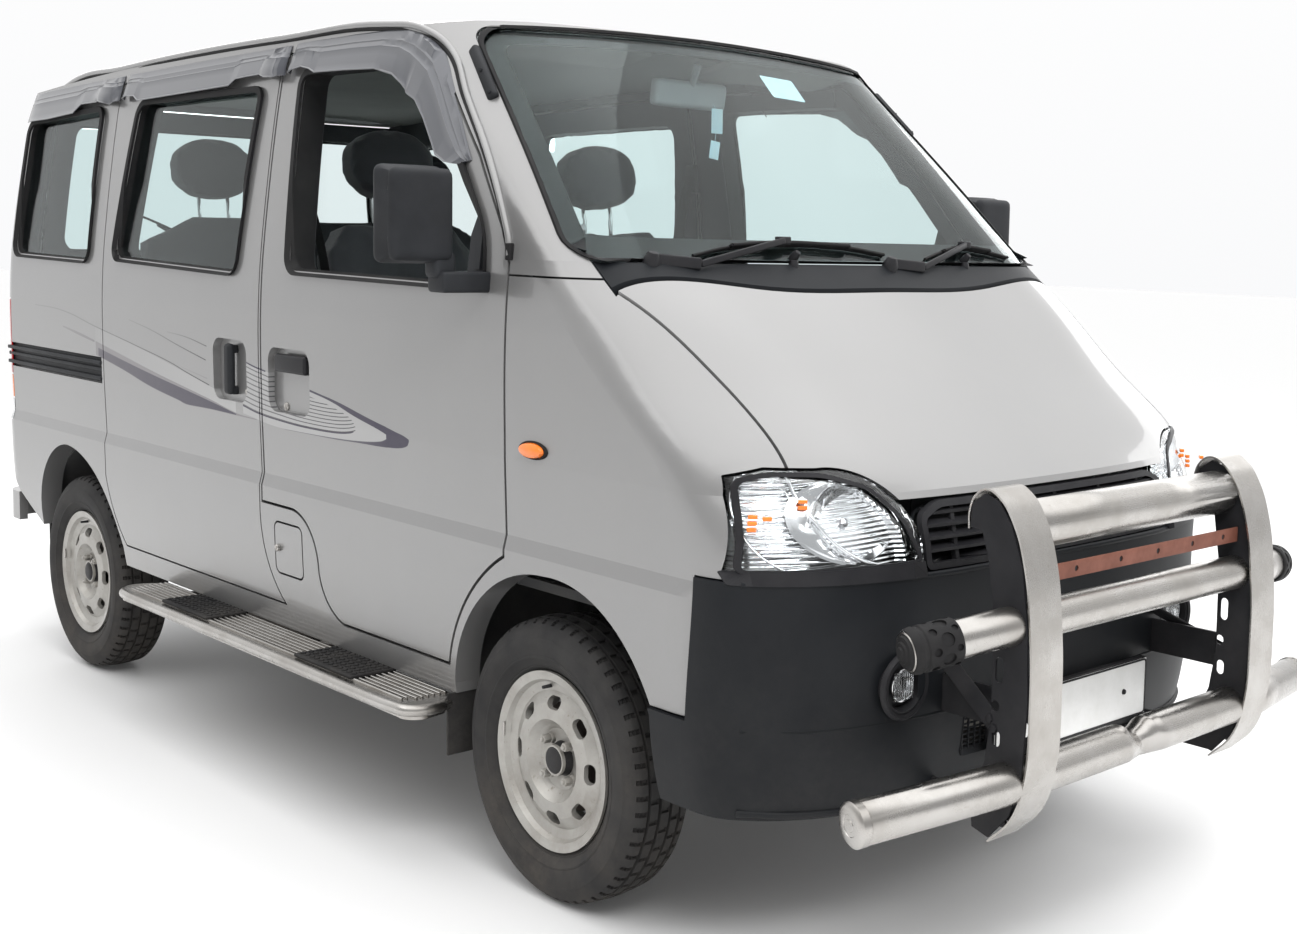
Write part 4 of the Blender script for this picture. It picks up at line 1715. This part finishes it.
# bumper: crease lines, a lower lip and number-plate base
def makeBumperTrim():
    lip, seams = bmesh.new(), bmesh.new()
    line = [(-716, 480), (-700, 480), (-600, 480), (-400, 482), (-200, 484), (0, 484), (200, 484), (400, 482),
            (600, 480), (700, 480), (716, 480)]
    addPipe(seams, [frontPlace(x, z, -600, -0.0022) for x, z in line[1:-1]], 0.0032)
    low = [(-690, 326), (-600, 322), (-400, 322), (0, 322), (400, 322), (600, 322), (690, 326)]
    addPipe(lip, [frontPlace(x, z, -600, 0.001) for x, z in low], 0.007)
    top = [(x, 742) for x in (-704, -600, -400, -200, 0, 200, 400, 600, 704)]
    addPipe(lip, [frontPlace(x, z, -600, -0.004) for x, z in top], 0.006)
    finishPiece(lip, "bumperLips", bumperPlastic)
    finishPiece(seams, "bumperSeam", printInk)


makeBumperTrim()
print("stage: mirrors, lamps and rear made")

# cabin
cabin = {
    "wheel": (-370, 440, 1210), "tilt": (0, 0.64, 0.77), "rimRadius": 0.178,
    "vents": [-560, -90, 90, 560],
}


def makeSteering():
    centre, axis = at(*cabin["wheel"]), Vector(cabin["tilt"])
    build = bmesh.new()
    radius = cabin["rimRadius"]
    ring = [(radius + 0.0135 * math.cos(t * math.pi / 6), 0.0135 * math.sin(t * math.pi / 6)) for t in range(12)]
    addLathe(build, ring, centre, axis, 72, closed=True)
    addLathe(build, [(0, 0.020), (0.030, 0.018), (0.052, 0.008), (0.058, -0.008), (0.050, -0.030), (0, -0.034)],
             centre, axis, 48)
    turn = turnTo(axis)
    for angle in (200, 340, 270):
        ray = Vector((math.cos(math.radians(angle)), math.sin(math.radians(angle)), 0))
        inner, outer = centre + turn @ (ray * 0.045), centre + turn @ (ray * (radius - 0.004))
        addBar(build, inner, outer, 0.034, 0.014, 0.006)
    addRod(build, centre - axis * 0.02, centre - axis * 0.30, 0.030, 0.026, 32, 0.002)
    for side in (-1, 1):
        stalk = centre - axis * 0.06
        addRod(build, stalk, stalk + Vector((side * 0.15, 0.01, 0.03)), 0.0065, 0.008, 16)
    finishPiece(build, "steeringWheel", glovePlastic, "body", 40, ("steering_wheel",))


def makeDashParts():
    build, dark, dials = bmesh.new(), bmesh.new(), bmesh.new()
    addBlock(build, at(-370, 80, 1228), (0.36, 0.17, 0.06), 0.022)
    addBlock(dark, at(-370, 156, 1200), (0.30, 0.04, 0.085), 0.010)
    for x in (-425, -315):
        addLathe(dials, [(0.044, 0.003), (0.047, 0.004), (0.048, 0.0), (0.044, 0.0)], at(x, 178, 1202), (0, 0.9, 0.3),
                 40, closed=True)
    addRod(dials, at(-425, 177, 1202), at(-425, 181, 1203), 0.006, sides=20)
    addRod(dials, at(-315, 177, 1202), at(-315, 181, 1203), 0.006, sides=20)
    for x in cabin["vents"]:
        addBlock(dark, at(x, 168, 1150), (0.13, 0.030, 0.062), 0.008)
        for z in (1136, 1150, 1164):
            addBlock(build, at(x, 184, z), (0.112, 0.006, 0.005), 0.0015)
    addBlock(dark, at(0, 166, 1060), (0.20, 0.030, 0.075), 0.008)
    for i in range(3):
        addRod(build, at(-55 + i * 55, 176, 1000), at(-55 + i * 55, 192, 1000), 0.017, 0.015, 32, 0.002)
    addBlock(build, at(330, 164, 1030), (0.36, 0.026, 0.14), 0.012)
    addBlock(build, at(330, 178, 1086), (0.06, 0.012, 0.018), 0.004)
    finishPiece(build, "dashTrim", cabinPlastic)
    finishPiece(dark, "dashOpenings", glovePlastic)
    finishPiece(dials, "dashDials", chrome)
    levers = bmesh.new()
    addRod(levers, at(0, 560, 660), at(-10, 520, 920), 0.008, sides=20)
    addLathe(levers, [(0, 0.030), (0.016, 0.026), (0.022, 0.010), (0.018, -0.012), (0.009, -0.022), (0, -0.022)],
             at(-10, 520, 930), (0, -0.1, 1), 32)
    addBlock(levers, at(0, 620, 652), (0.16, 0.26, 0.02), 0.008)
    addRod(levers, at(70, 860, 670), at(72, 700, 760), 0.012, sides=20)
    finishPiece(levers, "gearLever", glovePlastic)
    pedals = bmesh.new()
    for x in (-470, -400, -330):
        addBlock(pedals, at(x, -150, 560), (0.055, 0.012, 0.07), 0.004, Matrix.Rotation(math.radians(-35), 4, "X"))
        addBar(pedals, at(x, -160, 580), at(x, -200, 900), 0.016, 0.008)
    finishPiece(pedals, "pedals", glovePlastic)
    roofBits, glassBit, visors = bmesh.new(), bmesh.new(), bmesh.new()
    mirrorPlace = at(0, 440, 1676)
    addBlock(roofBits, mirrorPlace, (0.225, 0.030, 0.066), 0.013, Matrix.Rotation(math.radians(8), 4, "X"))
    addRod(roofBits, mirrorPlace, at(0, 408, 1745), 0.009, sides=20)
    addBlock(glassBit, mirrorPlace + Vector((0, 0.016, -0.001)), (0.205, 0.002, 0.052), 0.0008,
             Matrix.Rotation(math.radians(8), 4, "X"))
    for x in (-330, 330):
        addBlock(visors, at(x, 500, 1752), (0.42, 0.15, 0.020), 0.009, Matrix.Rotation(math.radians(-9), 4, "X"))
        addRod(roofBits, at(x * 1.6, 440, 1762), at(x * 0.5, 436, 1764), 0.0045, sides=16)
    finishPiece(roofBits, "cabinMirror", paleGrey)
    finishPiece(glassBit, "cabinMirrorGlass", mirrorSilver)
    finishPiece(visors, "sunVisors", headLining)
    tags, sticker = bmesh.new(), bmesh.new()
    addBlock(tags, at(78, 424, 1618), (0.036, 0.0015, 0.060), 0.0006)
    addBlock(tags, at(74, 427, 1548), (0.030, 0.0015, 0.044), 0.0006, Matrix.Rotation(math.radians(8), 4, "Y"))
    addPipe(tags, [at(60, 430, 1668), at(72, 426, 1650), at(78, 424, 1644)], 0.0008, roundness=2)
    addPipe(tags, [at(76, 425, 1590), at(75, 427, 1570)], 0.0008, roundness=2)
    finishPiece(tags, "hangingTags", tagCard)
    addPatch(sticker, [at(x, -100, z) for x, z in ((86, 1722), (196, 1718), (190, 1664), (82, 1668))], 0.004,
             lambda p: frontPlace(p.x * 1000, p.z * 1000, lift=-0.0115), 0.0006, 0.05)
    finishPiece(sticker, "screenSticker", tagCard)
    belts = bmesh.new()
    for side in (-1, 1):
        line = [at(side * 640, 1165, 1500), at(side * 600, 1150, 1400), at(side * 560, 1120, 1100),
                at(side * 590, 1080, 780)]
        addRibbon(belts, line, Vector((0, 0.044, 0.006)), 0.0014)
        addBlock(belts, at(side * 642, 1178, 1506), (0.020, 0.050, 0.090), 0.007)
    finishPiece(belts, "seatBelts", rubber)


tagCard = makeGlossy("paleCard", (0.52, 0.72, 0.80), (0.66, 0.78, 0.82), 0.4)
paleGrey = makeGlossy("paleGreyPlastic", (0.34, 0.35, 0.36), (0.28, 0.29, 0.30), 0.35)
makeSteering()
makeDashParts()
print("stage: cabin fittings made")


# seats: cushions and head restraints
def cushionBody(centre, size, lean=0.0, pinch=0.10, crown=0.25, oval=0.0):
    part = bmesh.new()
    bmesh.ops.create_cube(part, size=2)
    bmesh.ops.subdivide_edges(part, edges=part.edges[:], cuts=7, use_grid_fill=True)
    for vert in part.verts:
        x, y, z = vert.co
        edge = max(abs(x), abs(y)) ** 4
        vert.co.z = z * (1 - crown * edge)
        vert.co.x = x * (1 - pinch * (1 - abs(y)) * abs(x) ** 3 * 0.5)
        vert.co.y = y * (1 - pinch * (1 - abs(x)) * abs(y) ** 3 * 0.5)
    for vert in part.verts:  # rounds the corners off in plan
        x, y = vert.co.x, vert.co.y
        if abs(x) > 0.7 and abs(y) > 0.7:
            vert.co.x = x * (1 - 0.16 * ((abs(x) - 0.7) / 0.3) * ((abs(y) - 0.7) / 0.3))
            vert.co.y = y * (1 - 0.16 * ((abs(x) - 0.7) / 0.3) * ((abs(y) - 0.7) / 0.3))
    for vert in part.verts:
        x, y = vert.co.x, vert.co.y
        vert.co.x = x * (1 - oval + oval * math.sqrt(max(1 - y * y / 2, 0)))
        vert.co.y = y * (1 - oval + oval * math.sqrt(max(1 - x * x / 2, 0)))
    bmesh.ops.scale(part, vec=[side / 2 for side in size], verts=part.verts)
    part.transform(Matrix.Translation(centre) @ Matrix.Rotation(math.radians(lean), 4, "X"))
    return part


# how a cushion is stuffed: mesh width in m for the rests, the front seats and the bench
stuffing = {"rest": 0.0075, "front": 0.009, "bench": 0.0135, "pressure": 4, "quality": 5, "frames": 20, "fill": 0.7}


def puffUp(piece, voxel, cap):  # a short cloth simulation under pressure, then applied
    mesh = piece.data
    before = piece
    remesh = before.modifiers.new("voxels", "REMESH")
    remesh.mode, remesh.voxel_size = "VOXEL", voxel
    depsgraph = bpy.context.evaluated_depsgraph_get()
    fine = bpy.data.meshes.new_from_object(before.evaluated_get(depsgraph))
    before.modifiers.remove(remesh)
    piece.data = fine
    rest = [vert.co.copy() for vert in fine.vertices]
    cloth = piece.modifiers.new("stuffing", "CLOTH")
    cloth.settings.use_pressure = True
    cloth.settings.uniform_pressure_force = stuffing["pressure"]
    cloth.settings.quality = stuffing["quality"]
    cloth.settings.effector_weights.gravity = 0
    cloth.point_cache.frame_start, cloth.point_cache.frame_end = 1, stuffing["frames"]
    for step in range(1, stuffing["frames"] + 1):
        bpy.context.scene.frame_set(step)
    puffed = bpy.data.meshes.new_from_object(piece.evaluated_get(bpy.context.evaluated_depsgraph_get()))
    piece.modifiers.remove(cloth)
    for vert, home in zip(puffed.vertices, rest):
        move = vert.co - home
        if move.length > cap:
            vert.co = home + move * (cap / move.length)
    name = mesh.name
    piece.data = puffed
    bpy.data.meshes.remove(fine)
    bpy.data.meshes.remove(mesh)
    puffed.name = name
    bpy.context.scene.frame_set(1)


def makePad(name, centre, size, lean=0.0, cap=0.010, voxel=stuffing["front"], replaced=(), **shape):
    piece = finishPiece(cushionBody(centre, size, lean, **shape), name, seatCloth, "body", 60, replaced)
    puffUp(piece, voxel, cap)
    piece.data.materials.clear()
    piece.data.materials.append(seatCloth)
    smooth = piece.modifiers.new("smooth", "SUBSURF")
    smooth.levels = smooth.render_levels = 1
    for face in piece.data.polygons:
        face.use_smooth = True
    return piece


def addPiping(build, centre, size, lean, inset=0.93):
    turn = Matrix.Translation(centre) @ Matrix.Rotation(math.radians(lean), 4, "X")
    a, b, c = size[0] / 2 * inset, size[1] / 2 * inset, size[2] / 2 * 0.72
    line = [(-a, -b * 0.8, c), (-a, b * 0.8, c), (-a * 0.86, b, c), (a * 0.86, b, c), (a, b * 0.8, c), (a, -b * 0.8, c),
            (a * 0.86, -b, c), (-a * 0.86, -b, c)]
    addPipe(build, [turn @ Vector(p) for p in line], 0.0026, closed=True, roundness=3)


seats = {
    "front": {"x": 340, "cushion": (860, 712), "cushionSize": (0.455, 0.44, 0.115), "back": (1156, 1062),
              "backSize": (0.445, 0.60, 0.110), "rest": (1240, 1500), "restSize": (0.250, 0.185, 0.095)},
    "bench": {"cushion": (1838, 722), "cushionSize": (1.22, 0.47, 0.115), "back": (2150, 1076),
              "backSize": (1.22, 0.60, 0.110), "rest": (2248, 1500), "restSize": (0.250, 0.185, 0.095)},
}


def makeSeats():
    piping, posts, shells = bmesh.new(), bmesh.new(), bmesh.new()
    front, bench = seats["front"], seats["bench"]
    for side, sign in (("right", -1), ("left", 1)):
        x = sign * front["x"]
        makePad("frontCushion_" + side, at(x, *front["cushion"]), front["cushionSize"], 3,
                replaced=("front_seats",) if sign < 0 else ())
        makePad("frontBack_" + side, at(x, *front["back"]), front["backSize"], 77)
        makePad("frontRest_" + side, at(x, *front["rest"]), front["restSize"], 80, 0.006, stuffing["rest"],
                crown=0.35, oval=0.9)
        addPiping(piping, at(x, *front["cushion"]), front["cushionSize"], 3)
        addBlock(shells, at(x, 880, 650), (0.43, 0.42, 0.03), 0.010)
        for dx in (-45, 45):
            addRod(posts, at(x + dx, 1222, 1330), at(x + dx, 1238, 1440), 0.0055, sides=16)
            addRod(posts, at(sign * 350 + dx, 2232, 1330), at(sign * 350 + dx, 2246, 1440), 0.0055, sides=16)
        makePad("benchRest_" + side, at(sign * 350, *bench["rest"]), bench["restSize"], 80, 0.006,
                stuffing["rest"], crown=0.35, oval=0.9)
    makePad("benchCushion", at(0, *bench["cushion"]), bench["cushionSize"], 3, voxel=stuffing["bench"],
            replaced=("rear_bench",))
    makePad("benchBack", at(0, *bench["back"]), bench["backSize"], 77, voxel=stuffing["bench"])
    addPiping(piping, at(0, *bench["cushion"]), bench["cushionSize"], 3)
    for x in (-400, 400):
        addBlock(shells, at(x, 1800, 530), (0.03, 0.20, 0.262), 0.006)
        addBar(shells, at(x, 1900, 420), at(x, 2150, 1000), 0.040, 0.020, 0.004)
    addBlock(shells, at(0, 1840, 655), (1.16, 0.42, 0.03), 0.008)
    finishPiece(piping, "seatPiping", glovePlastic)
    finishPiece(posts, "restPosts", chrome)
    finishPiece(shells, "seatFrames", underPaint)


makeSeats()
print("stage: seats made")
